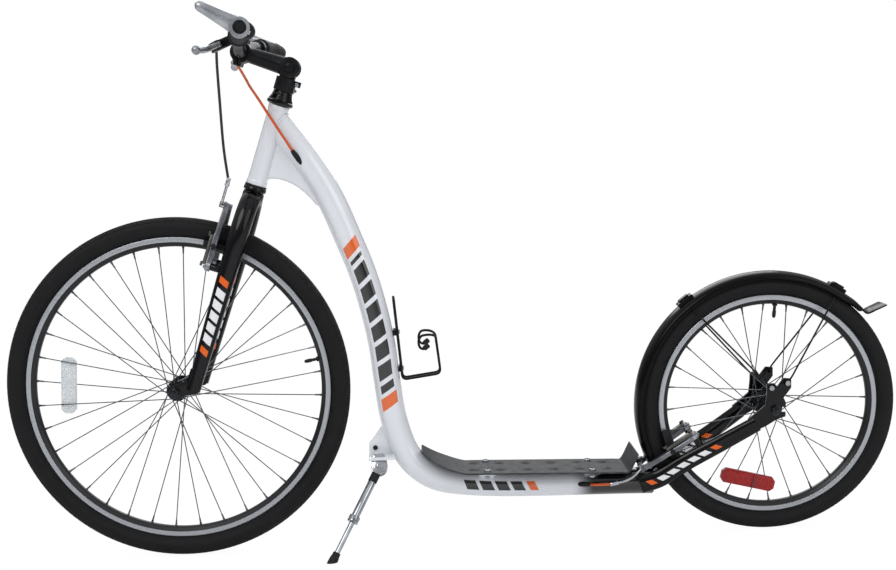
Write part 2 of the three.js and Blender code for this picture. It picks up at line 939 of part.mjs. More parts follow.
function wheel(parent, prefix, sizes) {
  const { bead, radius, steps, spokes, flange, hubEnd, valveAngle, lens, lensReach, lensColour } = sizes;
  const runs = spokeRuns(spokes, flange, bead, valveAngle);
  piece(parent, `${prefix}_tyre`, tyre(bead, radius, steps), rubberBlack, 0.85, 0);
  piece(parent, `${prefix}_rim`, rim(bead, steps, valveAngle), silver, 0.35, 0.9);
  piece(parent, `${prefix}_hub_and_spokes`, hub(flange, hubEnd, runs), silver, 0.3, 0.9);
  piece(parent, `${prefix}_valve`, valve(bead, valveAngle), rubberBlack, 0.6, 0);
  piece(parent, `${prefix}_reflector`, reflector(lens, lensReach, runs), lensColour, 0.2, 0);
}

// Steering pieces, in a frame on the steering axis

function cup(flangeFrom, flangeTo, skirtFrom, skirtTo, flangeRadius) {
  const skirt = headBore - gap;
  const bore = steererRadius + gap;
  const ends = flangeFrom < skirtFrom ? [flangeFrom, skirtTo] : [skirtFrom, flangeTo];
  const flange = [
    [bore, flangeFrom],
    [flangeRadius, flangeFrom],
    [flangeRadius, flangeTo],
    [bore, flangeTo],
  ];
  const body = [
    [bore, ends[0]],
    [skirt, ends[0]],
    [skirt, ends[1]],
    [bore, ends[1]],
  ];
  return turnedUp(flange, 20).add(turnedUp(body, 20));
}

function lowerCup() {
  return cup(-cupDepth - gap, -gap, -gap, skirtLength, cupRadius);
}

function upperCup() {
  const foot = headLength + gap;
  return cup(foot, foot + upperCupHeight, headLength - skirtLength, foot, upperCupRadius);
}

function headsetCover() {
  const foot = headLength + upperCupHeight + 2 * gap;
  const bore = steererRadius + gap;
  const outline = [
    [bore, foot],
    [coverFootRadius, foot],
    [coverTopRadius, foot + coverHeight],
    [bore, foot + coverHeight],
  ];
  return turnedUp(outline, 20);
}

// A blade's middle, from its foot up to the crown.
function bladeLine(side) {
  const y = side * bladeSpread;
  const middle = -crownDrop - (bladeBendDrop - crownDrop) * crownEaseShare;
  const inward = side * (crownSpread + (bladeSpread - crownSpread) * crownTurnShare);
  const bend = new THREE.CubicBezierCurve3(
    at(0, y, -bladeBendDrop),
    at(0, y, middle),
    at(0, inward, -crownDrop),
    at(0, side * crownSpread, -crownDrop),
  );
  return [at(0, y, -bladeFootDrop), ...bend.getPoints(5)];
}

function bladeSize(share) {
  const [foot, bend] = bladeLine(1);
  const straightShare = bend.distanceTo(foot) / lengthOf(bladeLine(1));
  const taper = Math.min(1, share / straightShare);
  const turn = Math.max(0, (share - straightShare) / (1 - straightShare));
  const radius = bladeFootRadius + (bladeTopRadius - bladeFootRadius) * taper;
  return [radius, radius + (crownHalfHeight - bladeTopRadius) * turn];
}

function lengthOf(points) {
  return points.slice(1).reduce((sum, point, place) => sum + point.distanceTo(points[place]), 0);
}

function forkEnd(side) {
  const from = side * (frontHubWidth / 2);
  const to = from + side * forkEndThickness;
  const disc = arc(-forkRake, -axleDrop, forkEndRadius, 150, 350, 10);
  const outline = [
    [-bladeFootRadius - endLip, -bladeFootDrop + endTabHeight],
    ...disc,
    [bladeFootRadius - endLip, -bladeFootDrop - endLip],
    [bladeFootRadius - endLip, -bladeFootDrop + endTabHeight],
  ];
  const tab = plate(outline, Math.min(from, to), Math.max(from, to));
  const slotHalf = axleRadius + gap;
  const slot = block(
    at(-forkRake - slotHalf, Math.min(from, to) - gap, -axleDrop - overrun),
    at(-forkRake + slotHalf, Math.max(from, to) + gap, -axleDrop),
  );
  const seatHole = crossHole(-forkRake, -axleDrop, from - side * gap, to + side * gap, slotHalf);
  return [tab, slot, seatHole];
}

function fork() {
  const steerer = turnedUp(
    [
      [0, -crownDrop - crownLip],
      [crownRadius, -crownDrop - crownLip],
      [crownRadius, -cupDepth - 3 * gap],
      [steererRadius, -cupDepth - 3 * gap],
      [steererRadius, steererTop],
      [steererBore, steererTop],
      [steererBore, skirtLength],
      [0, skirtLength],
    ],
    20,
  );
  const parts = [steerer];
  for (const side of [1, -1]) {
    const outer = tube(bladeLine(side), bladeSize, 10, along);
    const inner = bar(
      at(0, side * bladeSpread, -bladeFootDrop - bladeWall),
      at(0, side * bladeSpread, -bladeBendDrop),
      bladeFootRadius - bladeWall,
      10,
      bladeTopRadius - bladeWall,
    );
    const [tab, slot, seatHole] = forkEnd(side);
    const boss = bar(
      at(0, side * bossSpread, -frontPivotDrop),
      at(-frontPivotReach + gap, side * bossSpread, -frontPivotDrop),
      bossRadius,
    );
    const post = bar(
      at(0, side * bossSpread, -frontPivotDrop),
      at(-frontPivotReach - armThickness + postEnd, side * bossSpread, -frontPivotDrop),
      postRadius,
      8,
    );
    parts.push(joined([outer.subtract(inner), tab, boss, post]).subtract(slot).subtract(seatHole));
  }
  return joined(parts);
}

function stemClamp() {
  const pivot = at(0, 0, stemPivotHeight);
  const foot = headLength + upperCupHeight + coverHeight + 3 * gap;
  const ring = turnedUp(
    [
      [0, foot],
      [stemClampRadius, foot],
      [stemClampRadius, stemClampTop],
      [0, stemClampTop],
    ],
    20,
  );
  const neck = block(
    at(-neckHalfLength, -knuckleHalfWidth, stemLugHeight),
    at(neckHalfLength, knuckleHalfWidth, pivot.z),
  );
  const knuckle = crossBar(0, pivot.z, -knuckleHalfWidth, knuckleHalfWidth, knuckleRadius, 18);
  const lug = block(
    at(0, -stemLugRadius - stemSlit, stemLugHeight - stemLugRadius),
    at(stemLugReach + stemLugRadius, stemLugRadius + stemSlit, stemClampTop),
  );
  const bore = turnedUp(
    [
      [0, foot - overrun],
      [steererRadius + gap, foot - overrun],
      [steererRadius + gap, steererTop + gap],
      [0, steererTop + gap],
    ],
    20,
  );
  const slit = block(
    at(0, -stemSlit / 2, foot - overrun),
    at(stemClampRadius + stemLugReach, stemSlit / 2, steererTop + gap),
  );
  const pin = crossBar(0, pivot.z, -overrun, overrun, stemBoltRadius + gap, 10);
  return without(joined([ring, neck, knuckle, lug]), [bore, slit, pin]);
}

// Bars: the stem's arm in a frame on its pivot, whose X still runs back across the steering axis

function cheekOuter() {
  return knuckleHalfWidth + gap + cheekThickness;
}

function stemArm() {
  const half = cheekOuter();
  const cheek = crossBar(0, 0, -half, half, cheekRadius, 20);
  const clamp = crossBar(-stemLength, 0, -barClampHalfWidth, barClampHalfWidth, barClampRadius, 20);
  const line = Array.from({ length: 5 }, (_, place) => at((-stemLength * place) / 4, 0, 0));
  const body = tube(
    line,
    (share) => [
      half - stemTuck * Math.sin(Math.PI * share),
      (stemRootHalfHeight + (stemFrontHalfHeight - stemRootHalfHeight) * share) / flatShare(12),
    ],
    12,
    across,
  );
  const lugs = block(
    at(-stemLength, -barClampHalfWidth, -barClampRadius - clampLugHeight),
    at(-stemLength + clampLugHalfLength, barClampHalfWidth, barClampRadius + clampLugHeight),
  );
  const wide = knuckleHalfWidth + gap;
  const round = crossBar(0, 0, -wide, wide, knuckleRadius + 2 * gap, 18);
  const back = block(at(0, -wide, -overrun), at(overrun, wide, overrun));
  const below = block(at(-neckHalfLength - 3 * gap, -wide, -overrun), at(overrun, wide, 0));
  const seatHole = crossHole(-stemLength, 0, -overrun, overrun, barCentreRadius + gap);
  const pin = crossBar(0, 0, -overrun, overrun, stemBoltRadius + gap, 10);
  const ahead = block(
    at(-stemLength - overrun, -overrun, -overrun),
    at(-stemLength + stemSlit / 2, overrun, overrun),
  );
  return without(joined([cheek, clamp, body, lugs]), [round, back, below, seatHole, pin, ahead]);
}

function stemFaceplate() {
  const clamp = crossBar(-stemLength, 0, -barClampHalfWidth, barClampHalfWidth, barClampRadius, 20);
  const lugs = block(
    at(-stemLength - clampLugHalfLength, -barClampHalfWidth, -barClampRadius - clampLugHeight),
    at(-stemLength, barClampHalfWidth, barClampRadius + clampLugHeight),
  );
  const seatHole = crossHole(-stemLength, 0, -overrun, overrun, barCentreRadius + gap);
  const behind = block(
    at(-stemLength - stemSlit / 2, -overrun, -overrun),
    at(-stemLength + overrun, overrun, overrun),
  );
  return without(joined([clamp, lugs]), [seatHole, behind]);
}

function stemPivotBolt() {
  const half = cheekOuter() + gap;
  const shank = crossBar(0, 0, -half, half, stemBoltRadius, 8);
  const heads = [1, -1].map((side) =>
    crossBar(0, 0, side * half, side * (half + stemBoltHeadHeight), stemBoltHeadRadius, 12),
  );
  return joined([shank, ...heads]);
}

// The handlebar, in an upright frame on the stem's clamp

function barLine(extra) {
  const run = at(barSweep - barBendSweep, barHalfWidth - barBendReach, barRise - barBendRise).normalize();
  const halfPoints = [
    at(0, barCentreHalf, 0),
    at(barBendSweep, barBendReach, barBendRise),
    at(barSweep, barHalfWidth, barRise).addScaledVector(run, extra),
  ];
  const left = halfPoints.map((point) => at(point.x, -point.y, point.z)).reverse();
  return rounded([...left, ...halfPoints], barClampHalfWidth, 3);
}

function handlebar() {
  const length = lengthOf(barLine(0));
  const thick = (wall) => (share) => {
    const reach = Math.abs(share - 1 / 2) * length;
    const taper = Math.min(1, Math.max(0, (reach - barClampHalfWidth) / barClampHalfWidth));
    const radius = barCentreRadius + (barRadius - barCentreRadius) * taper - wall;
    return [radius, radius];
  };
  const skin = tube(barLine(0), thick(0), 10, up);
  return skin.subtract(tube(barLine(barWall), thick(barWall), 8, up));
}

function barRunLength() {
  return at(barSweep - barBendSweep, barHalfWidth - barBendReach, barRise - barBendRise).length();
}

// A frame on the handlebar's outer run, with Y along it, away from the rider's left.
function onRun(parent, side) {
  const run = at(barSweep - barBendSweep, side * (barHalfWidth - barBendReach), barRise - barBendRise);
  const lengthways = run.normalize().multiplyScalar(side);
  const back = lengthways.clone().cross(up).normalize();
  const rise = back.clone().cross(lengthways);
  const made = group(parent, at(barBendSweep, side * barBendReach, barBendRise));
  made.quaternion.setFromRotationMatrix(new THREE.Matrix4().makeBasis(back, lengthways, rise));
  return made;
}

function barHole(side) {
  return crossHole(0, 0, -side * overrun, side * (barHalfWidth + overrun), barRadius + gap);
}

function grip(side) {
  const end = barRunLength() - hornWidth - gap;
  const rings = gripShares.map(([place, size, wing]) => {
    const y = side * (gripStart + (end - gripStart) * place);
    const ring = [];
    for (let corner = 0; corner < 12; corner += 1) {
      const angle = (corner * Math.PI) / 6;
      const swell = Math.max(0, Math.cos(angle + wingDroop * degree)) ** 3;
      const radius = gripRadius * size + wingReach * wing * swell;
      ring.push(at(radius * Math.cos(angle), y, radius * Math.sin(angle)));
    }
    return ring;
  });
  return loft(rings).subtract(barHole(side));
}

function barEnd(side) {
  const end = barRunLength();
  const middle = side * (end - hornWidth / 2);
  const ring = crossBar(0, 0, side * (end - hornWidth), side * end, hornRingRadius, 16);
  const ahead = at(-Math.cos(hornRise * degree), 0, Math.sin(hornRise * degree));
  const from = ahead.clone().multiplyScalar(barRadius).setY(middle);
  const to = ahead.clone().multiplyScalar(hornLength).setY(middle);
  const horn = tube(
    [0, 1 / 3, 2 / 3, 5 / 6, 1].map((share) => from.clone().lerp(to, share)),
    (share) => {
      const tip = share > 5 / 6 ? hornTipShare : 1;
      const width = hornRootHalfWidth + (hornTipHalfWidth - hornRootHalfWidth) * share ** hornCurveShare;
      return [hornThickness * tip, width * tip];
    },
    8,
    across,
  );
  return joined([ring, horn]).subtract(barHole(side));
}

// A lever's points run forward of the bar and outward along it.
function leverOutline(points, side) {
  return points.map(([ahead, out]) => [-ahead, side * out]);
}

function leverBody(side) {
  const halfClamp = leverClampWidth / 2;
  const half = leverBodyThickness / 2;
  const reach = leverPivotReach;
  const inner = leverPivotOffset + leverInboard;
  const outline = leverOutline(
    [
      [barRadius, -halfClamp],
      [reach - leverInboard / 2, -inner + leverPivotOffset],
      [reach + leverInboard / 2, -inner + leverPivotOffset],
      [reach + leverNose, -halfClamp],
      [reach + leverNose, leverPivotOffset],
      [reach + bladeHalfWidth, leverPivotOffset + leverShoulder],
      [reach - bladeHalfWidth, leverPivotOffset + leverShoulder],
      [reach - leverNose, halfClamp],
      [barRadius, halfClamp],
    ],
    side,
  );
  const clamp = crossBar(0, 0, -halfClamp, halfClamp, leverClampRadius, 14);
  const housing = layer(outline, -half, half);
  const inboard = side * (leverPivotOffset - inner);
  const adjuster = bar(
    at(-adjusterReach, inboard + side * adjusterRadius, 0),
    at(-adjusterReach, inboard - side * adjusterLength, 0),
    adjusterRadius,
  );
  const slotHalf = bladeThickness / 2 + gap;
  const slotEdges = [side * (adjusterRadius - leverInboard), side * (leverPivotOffset + overrun)];
  const slot = block(
    at(-reach - overrun, Math.min(...slotEdges), -slotHalf),
    at(-reach + leverRootRadius + gap, Math.max(...slotEdges), slotHalf),
  );
  const pin = bar(
    at(-reach, side * leverPivotOffset, -half),
    at(-reach, side * leverPivotOffset, half),
    leverPinRadius,
    10,
  );
  const shell = joined([clamp, housing, adjuster]);
  return without(shell, [slot, barHole(1), barHole(-1)]).add(pin);
}

function leverBlade(side) {
  const half = bladeThickness / 2;
  const middle = bladeShares.map(([ahead, out, width]) => [
    leverPivotReach + (bladeReach - leverPivotReach) * ahead,
    leverPivotOffset + (bladeSpan - leverPivotOffset) * out,
    bladeHalfWidth * width,
  ]);
  const outline = leverOutline(strip(middle), side);
  const arm = layer(outline, -half, half);
  const root = bar(
    at(-leverPivotReach, side * leverPivotOffset, -half),
    at(-leverPivotReach, side * leverPivotOffset, half),
    leverRootRadius,
    12,
  );
  const ball = new THREE.SphereGeometry(bladeTipRadius, 8, 6);
  ball.translate(-bladeReach, side * bladeSpan, 0);
  const pinHole = hole(
    at(-leverPivotReach, side * leverPivotOffset, -overrun),
    at(-leverPivotReach, side * leverPivotOffset, overrun),
    leverPinRadius + gap,
  );
  return joined([arm, root, solid(ball)]).subtract(pinHole);
}

// The outline of a strip from its middle points and half widths.
function strip(points) {
  const left = [];
  const right = [];
  points.forEach(([x, y, half], place) => {
    const before = points[Math.max(0, place - 1)];
    const after = points[Math.min(points.length - 1, place + 1)];
    const run = flat(after[0] - before[0], after[1] - before[1]).normalize();
    left.push([x - run.y * half, y + run.x * half]);
    right.push([x + run.y * half, y - run.x * half]);
  });
  return [...left, ...right.reverse()];
}

// Brakes, in a frame whose X runs out of the arms' backs and whose Z runs up the arms

function armAt(height) {
  const share = height / armLength;
  const rows = armShares;
  let place = 1;
  while (place + 1 < rows.length && share > rows[place][0]) place += 1;
  const [before, after] = [rows[place - 1], rows[place]];
  const part = (share - before[0]) / (after[0] - before[0]);
  const drawnIn = before[1] + (after[1] - before[1]) * part;
  const width = before[2] + (after[2] - before[2]) * part;
  return [bossSpread - (bossSpread - armTopSpread) * drawnIn, armHalfWidth * width];
}

function brakeArm(side, padSeat, holdsNoodle) {
  const outline = strip(
    armShares.map(([rise]) => {
      const [y, half] = armAt(rise * armLength);
      return [side * y, rise * armLength, half];
    }),
  );
  const pivotY = side * bossSpread;
  const topY = side * armTopSpread;
  const head = bar(at(0, pivotY, 0), at(armThickness, pivotY, 0), armHeadRadius, 10);
  const top = bar(at(0, topY, armLength), at(armThickness, topY, armLength), armTopRadius, 10);
  const bolt = bar(at(postEnd, pivotY, 0), at(armThickness + armBoltHeight, pivotY, 0), armBoltRadius, 8);
  const parts = [crossPlate(outline, 0, armThickness), head, top, bolt];
  if (holdsNoodle) {
    parts.push(
      block(
        at(0, topY - cradleHalf, armLength),
        at(noodleReach + 2 * noodleRadius, topY + cradleHalf, armLength + cradleHeight),
      ),
    );
  } else {
    const boltEnd = at(armThickness + armBoltHeight, topY, armLength);
    parts.push(bar(at(0, topY, armLength), boltEnd, armBoltRadius, 6));
  }
  const postHole = hole(
    at(-overrun, pivotY, 0),
    at(armThickness - postEnd + gap, pivotY, 0),
    postRadius + gap,
    10,
  );
  const slotHalf = padStudRadius + gap;
  const slot = block(
    at(armThickness / 2 - slotHalf, Math.min(0, side * overrun), padSeat - padHeight / 2),
    at(armThickness / 2 + slotHalf, Math.max(0, side * overrun), padSeat + padHeight / 2),
  );
  const whole = without(joined(parts), [postHole, slot]);
  if (!holdsNoodle) return whole;
  return whole.subtract(crossBar(noodleReach, noodleRise, -overrun, overrun, noodleRadius + cradlePlay, 12));
}

function brakePad(side, axleX, axleZ, track, angle) {
  const [studX, studZ] = padStudAt(axleX, axleZ, track);
  const padGap = (studZ + padHeight / 2) * Math.sin(armSwing * degree) + padRest;
  const inner = side * (rimHalfWidth + padGap);
  const back = inner + side * padThickness;
  const spread = padLength / 2 / track / degree;
  const low = track - padHeight / 2;
  const high = track + padHeight / 2;
  const middle = 90 - angle;
  const outline = [
    ...arc(axleX, axleZ, low, middle - spread, middle + spread, 4),
    ...arc(axleX, axleZ, high, middle + spread, middle - spread, 4),
  ];
  const shoe = plate(outline, Math.min(inner, back), Math.max(inner, back));
  const reach = (height, sign) => {
    const [y, half] = armAt(height);
    return y + sign * half;
  };
  const nutFoot = studZ - padNutRadius;
  const nutTop = studZ + padNutRadius;
  const spacerEnd = side * (Math.min(reach(nutFoot, -1), reach(nutTop, -1)) - gap);
  const nutFrom = side * (Math.max(reach(nutFoot, 1), reach(nutTop, 1)) + gap);
  const nutTo = nutFrom + side * padNutHeight;
  const studFrom = inner + (side * padThickness) / 2;
  return joined([
    shoe,
    crossBar(studX, studZ, studFrom, nutTo + side * padStudTail, padStudRadius, 8),
    crossBar(studX, studZ, back - side * gap, spacerEnd, padNutRadius, 8),
    crossBar(studX, studZ, nutFrom, nutTo, padNutRadius, 6),
  ]);
}

function padStudAt(axleX, axleZ, track) {
  const studX = armThickness / 2;
  return [studX, axleZ + Math.sqrt(track ** 2 - (studX - axleX) ** 2)];
}

// The two arms, their pads and the bent noodle of one brake.
function brake(parent, prefix, sizes) {
  const { place, turn, axlePoint, track, angle, noodleSide, leftSide } = sizes;
  const frame = group(parent, place, turn);
  const [, padSeat] = padStudAt(axlePoint.x, axlePoint.z, track);
  for (const side of [1, -1]) {
    const name = side === leftSide ? "left" : "right";
    const arm = brakeArm(side, padSeat, side === noodleSide);
    const pad = brakePad(side, axlePoint.x, axlePoint.z, track, angle);
    piece(frame, `${prefix}_brake_arm_${name}`, arm, silver, 0.35, 0.9);
    piece(frame, `${prefix}_brake_pad_${name}`, pad, rubberBlack, 0.8, 0);
  }
  return frame;
}

// Frame pieces, in the bike's frame

const tubeTop = at(headBottomX + tubeStart * Math.sin(tilt), 0, headBottomZ + tubeStart * Math.cos(tilt));
const tubePoints = tubeShares.map(([back, down]) =>
  at(tubeTop.x + (tubeEndX - tubeTop.x) * back, 0, tubeTop.z - (tubeTop.z - tubeEndZ) * down),
);
const tubePath = new THREE.CatmullRomCurve3(tubePoints, false, "centripetal");
const tubeLine = smooth(tubePoints).filter((_, place, all) => place !== all.length - 2);
const tubeLevelStart = tubePoints[tubePoints.length - 2];
const tubeEnd = tubePoints[tubePoints.length - 1];
const tubeSlope = Math.atan2(tubeLevelStart.z - tubeEnd.z, tubeEnd.x - tubeLevelStart.x);

// The tube's middle at a height, on the part that comes down from the head.
function tubeMiddleAt(height) {
  let low = 0;
  let high = 1;
  for (let turn = 0; turn < 30; turn += 1) {
    const middle = (low + high) / 2;
    if (tubePath.getPointAt(middle).z > height) low = middle;
    else high = middle;
  }
  return { point: tubePath.getPointAt(low), run: tubePath.getTangentAt(low) };
}

// Where the tube's rear face stands at a height.
function tubeRearAt(height) {
  const { point, run } = tubeMiddleAt(height);
  return point.x + tubeRadius / Math.abs(run.z);
}

function tubeSkin(wall) {
  const length = lengthOf(tubeLine);
  const sizeAt = (share) => {
    const swell = Math.min(1, (share * length) / tubeSwellLength);
    const side = tubeHeadHalfWidth + (tubeRadius - tubeHeadHalfWidth) * swell;
    return [side - wall, tubeRadius - wall];
  };
  return tube(tubeLine, sizeAt, tubeSides, across);
}

function headCylinder(radius) {
  const outline = [
    [0, -overrun],
    [radius, -overrun],
    [radius, headLength + overrun],
    [0, headLength + overrun],
  ];
  return solidMoved(turnedUp(outline, 20), steeringMatrix);
}

const steeringMatrix = new THREE.Matrix4()
  .makeRotationY(tilt)
  .setPosition(headBottomX, 0, headBottomZ);

function headTube() {
  const half = [
    [headBore, 0],
    [headRadius + headBandHeight, 0],
    [headRadius + headBandHeight, headBandWidth],
    [headRadius, headBandWidth + headBandHeight],
    [headRadius, headLength - headBandWidth - headBandHeight],
    [headRadius + headBandHeight, headLength - headBandWidth],
    [headRadius + headBandHeight, headLength],
    [headBore, headLength],
  ];
  const shell = turnedUp(half, 20);
  const web = plate(
    gussetShares.map(([back, rise]) => [gussetReach * back, headLength * rise]),
    -gussetHalfThickness,
    gussetHalfThickness,
  );
  const bore = turnedUp(
    [
      [0, -overrun],
      [headBore, -overrun],
      [headBore, headLength + overrun],
      [0, headLength + overrun],
    ],
    20,
  );
  const placed = solidMoved(shell.add(web.subtract(bore)), steeringMatrix);
  return placed.subtract(tubeSkin(-gap));
}

// The deck's frame: X along the tube's level run, Z up from its middle.
const deckMatrix = new THREE.Matrix4()
  .makeRotationY(tubeSlope)
  .setPosition(deckX, 0, tubeLevelStart.z - (deckX - tubeLevelStart.x) * Math.tan(tubeSlope));

const deckUnder = deckHeight - deckThickness / 2;
const deckTop = deckHeight + deckThickness / 2;
const deckBoltPlaces = [
  [deckBoltFront, -deckBoltOffset],
  [deckBoltFront, deckBoltOffset],
  [deckBoltRear, -deckBoltOffset],
  [deckBoltRear, deckBoltOffset],
];

function deckBrackets() {
  const holes = deckBoltPlaces.map(([x, y]) => deckHole(x, y));
  const plates = [deckBoltFront, deckBoltRear].map((x) =>
    block(
      at(x - bracketHalfLength, -bracketHalfWidth, deckUnder - gap - bracketThickness),
      at(x + bracketHalfLength, bracketHalfWidth, deckUnder - gap),
    ),
  );
  return without(joined(plates), holes);
}

function deckHole(x, y) {
  return hole(at(x, y, -overrun), at(x, y, overrun), deckBoltRadius + gap, 8);
}

function deckPlate() {
  const profile = deckProfile().map(([back, rise]) => [back, deckHeight + rise, deckThickness / 2]);
  const sheet = plate(strip(profile), -deckHalfWidth, deckHalfWidth);
  const nose = deckHalfWidth * deckNoseShare;
  const outline = [
    [-deckFront, -nose],
    [-deckFront + deckCorner, -deckHalfWidth + deckCorner / 3],
    [-deckFront + 2 * deckCorner, -deckHalfWidth],
    [deckRear + deckKickLength + deckCorner, -deckHalfWidth],
    [deckRear + deckKickLength + deckCorner, deckHalfWidth],
    [-deckFront + 2 * deckCorner, deckHalfWidth],
    [-deckFront + deckCorner, deckHalfWidth - deckCorner / 3],
    [-deckFront, nose],
  ];
  const trimmed = sheet.intersect(layer(outline, deckUnder - overrun, deckTop + overrun));
  const dimples = [];
  const hollows = [];
  for (let place = 0; place < dimpleCount; place += 1) {
    for (const side of [1, -1]) {
      const [x, y] = [dimpleStart + place * dimplePitch, side * dimpleRow];
      const crown = dimpleRadius - dimpleHeight;
      const low = at(x, y, deckHeight);
      dimples.push(bar(low, at(x, y, deckTop + dimpleHeight), dimpleRadius, 8, crown));
      const hollowTop = at(x, y, deckUnder + dimpleHeight);
      hollows.push(bar(at(x, y, deckUnder - gap), hollowTop, crown, 6, crown - dimpleHeight));
    }
  }
  const holes = deckBoltPlaces.map(([x, y]) => deckHole(x, y));
  return without(joined([trimmed, ...dimples]), [...hollows, ...holes]);
}

// The middle of the deck's sheet from front to back, as [X, rise].
function deckProfile() {
  const front = deckFrontShares.map(([back, rise]) => [-deckFront * back, deckFrontRise * rise]);
  const rear = deckRearShares.map(([back, rise]) => [deckRear + deckKickLength * back, deckKickRise * rise]);
  return [...front, ...rear];
}

function deckBolt(x, y) {
  const foot = deckTop + gap;
  const shankTop = at(x, y, foot + deckBoltHeadHeight / 2);
  const shank = bar(at(x, y, foot - deckBoltLength), shankTop, deckBoltRadius, 6);
  const crown = deckBoltHeadRadius * boltCrownShare;
  const head = bar(at(x, y, foot), at(x, y, foot + deckBoltHeadHeight), deckBoltHeadRadius, 10, crown);
  return shank.add(head);
}

const standPivot = at(standPivotX, standPivotY, standPivotZ);
const floorAt = (y) => (-y - crownHalfWidth) * Math.tan(lean);
const standFoot = at(standFootX, standFootY, floorAt(standFootY));
const standRun = standFoot.clone().sub(standPivot).normalize();
const standTurn = standTwist * degree;
const standPin = at(0, Math.cos(standTurn), -Math.sin(standTurn));
const standAxis = standPin.clone().addScaledVector(standRun, -standPin.dot(standRun)).normalize();
const standRise = up.clone().addScaledVector(standAxis, -up.dot(standAxis)).normalize();
const standBack = standAxis.clone().cross(standRise);

function alongStand(distance) {
  return standPivot.clone().addScaledVector(standRun, distance);
}

function besideStand(offset, rise = 0) {
  return standPivot.clone().addScaledVector(standAxis, offset).addScaledVector(standRise, rise);
}

function standBracket() {
  const flangeTop = standFlangeZ + standFlangeThickness / 2;
  const flangeFoot = standFlangeZ - standFlangeThickness / 2;
  const { point: high } = tubeMiddleAt(standPlateTop);
  const { point: low } = tubeMiddleAt(standFlangeZ);
  const outline = [
    [standPlateFront, flangeFoot],
    [standPlateFront, flangeTop + (standPlateTop - flangeTop) * standShoulderShare],
    [high.x - tubeRadius, standPlateTop],
    [high.x, standPlateTop],
    [low.x, flangeFoot],
  ];
  const web = plate(outline, -standPlateThickness / 2, standPlateThickness / 2);
  const outer = standPivotY - standEarRadius;
  const flange = block(
    at(standPlateFront, outer, flangeFoot),
    at(low.x - tubeRadius + tubeWall, standPlateThickness, flangeTop),
  );
  const parts = [web, flange];
  for (const side of [1, -1]) {
    const [from, to] = [side * (standHeadHalf + gap), side * (standHeadHalf + gap + standEarThickness)];
    parts.push(bar(besideStand(from), besideStand(to), standEarRadius, 16));
    const rise = (standFlangeZ - besideStand((from + to) / 2).z) / standRise.z;
    const strap = new THREE.BoxGeometry(2 * standEarRadius * earShare, Math.abs(to - from), rise);
    const basis = new THREE.Matrix4().makeBasis(standBack, standAxis, standRise);
    basis.setPosition(besideStand((from + to) / 2, rise / 2));
    parts.push(solid(strap, basis));
  }
  const reach = standHeadHalf + gap + standEarThickness;
  parts.push(bar(besideStand(-reach), besideStand(reach), standPinRadius, 10));
  return joined(parts);
}

function standUpperLeg() {
  const knuckle = bar(besideStand(-standHeadHalf), besideStand(standHeadHalf), standHeadRadius, 14);
  const neck = bar(standPivot, alongStand(standNeck + standHeadHalf), standHeadHalf * neckShare, 10);
  const sleeve = bar(alongStand(standNeck), alongStand(standHeadLength), standSleeveRadius, 10);
  const shaft = bar(alongStand(standHeadLength - gap), alongStand(standUpperLength), standUpperRadius, 10);
  const collarFoot = alongStand(standUpperLength - standCollarLength);
  const collar = bar(collarFoot, alongStand(standUpperLength), standCollarRadius);
  const pinHole = hole(besideStand(-overrun), besideStand(overrun), standPinRadius + gap);
  const bore = hole(
    alongStand(standUpperLength - standInsert - 2 * gap),
    alongStand(standUpperLength + overrun),
    standLowerRadius + gap,
  );
  return without(joined([knuckle, neck, sleeve, shaft, collar]), [pinHole, bore]);
}

function standLength() {
  return standFoot.distanceTo(standPivot);
}

function standLowerLeg() {
  return bar(
    alongStand(standUpperLength - standInsert),
    alongStand(standLength() - standFootLength * footSoleShare),
    standLowerRadius,
  );
}

function standRubberFoot() {
  const end = standLength();
  const foot = bar(
    alongStand(end - standFootLength),
    alongStand(end + standFootRadius),
    standLowerRadius + standFootWall,
    14,
    standFootRadius,
  );
  const socket = hole(
    alongStand(end - standFootLength - gap),
    alongStand(end - standFootLength * footSoleShare + gap),
    standLowerRadius + gap,
  );
  const ground = block(at(-wheelbase, -wheelbase, -wheelbase), at(wheelbase, wheelbase, 0));
  const tilted = new THREE.Matrix4().makeRotationX(-lean).setPosition(0, 0, floorAt(0));
  return without(foot, [socket, solidMoved(ground, tilted)]);
}

// The two ports that the rear brake's cable passes, cut along its run.
function cablePorts() {
  return portRuns.map(([from, to]) => bar(at(...from), at(...to), portRadius));
}

function mainTube() {
  const brackets = solidMoved(deckBrackets(), deckMatrix);
  const bore = tubeSkin(tubeWall);
  const wallShare = tubeWall / tubeEnd.distanceTo(tubeLevelStart);
  const openEnd = bar(
    tubeEnd.clone().lerp(tubeLevelStart, wallShare),
    tubeEnd.clone().lerp(tubeLevelStart, -wallShare),
    tubeRadius - tubeWall - gap,
  );
  const whole = joined([tubeSkin(0), brackets, standBracket()]);
  return without(whole, [bore, openEnd, headCylinder(headRadius + gap), ...cablePorts()]);
}

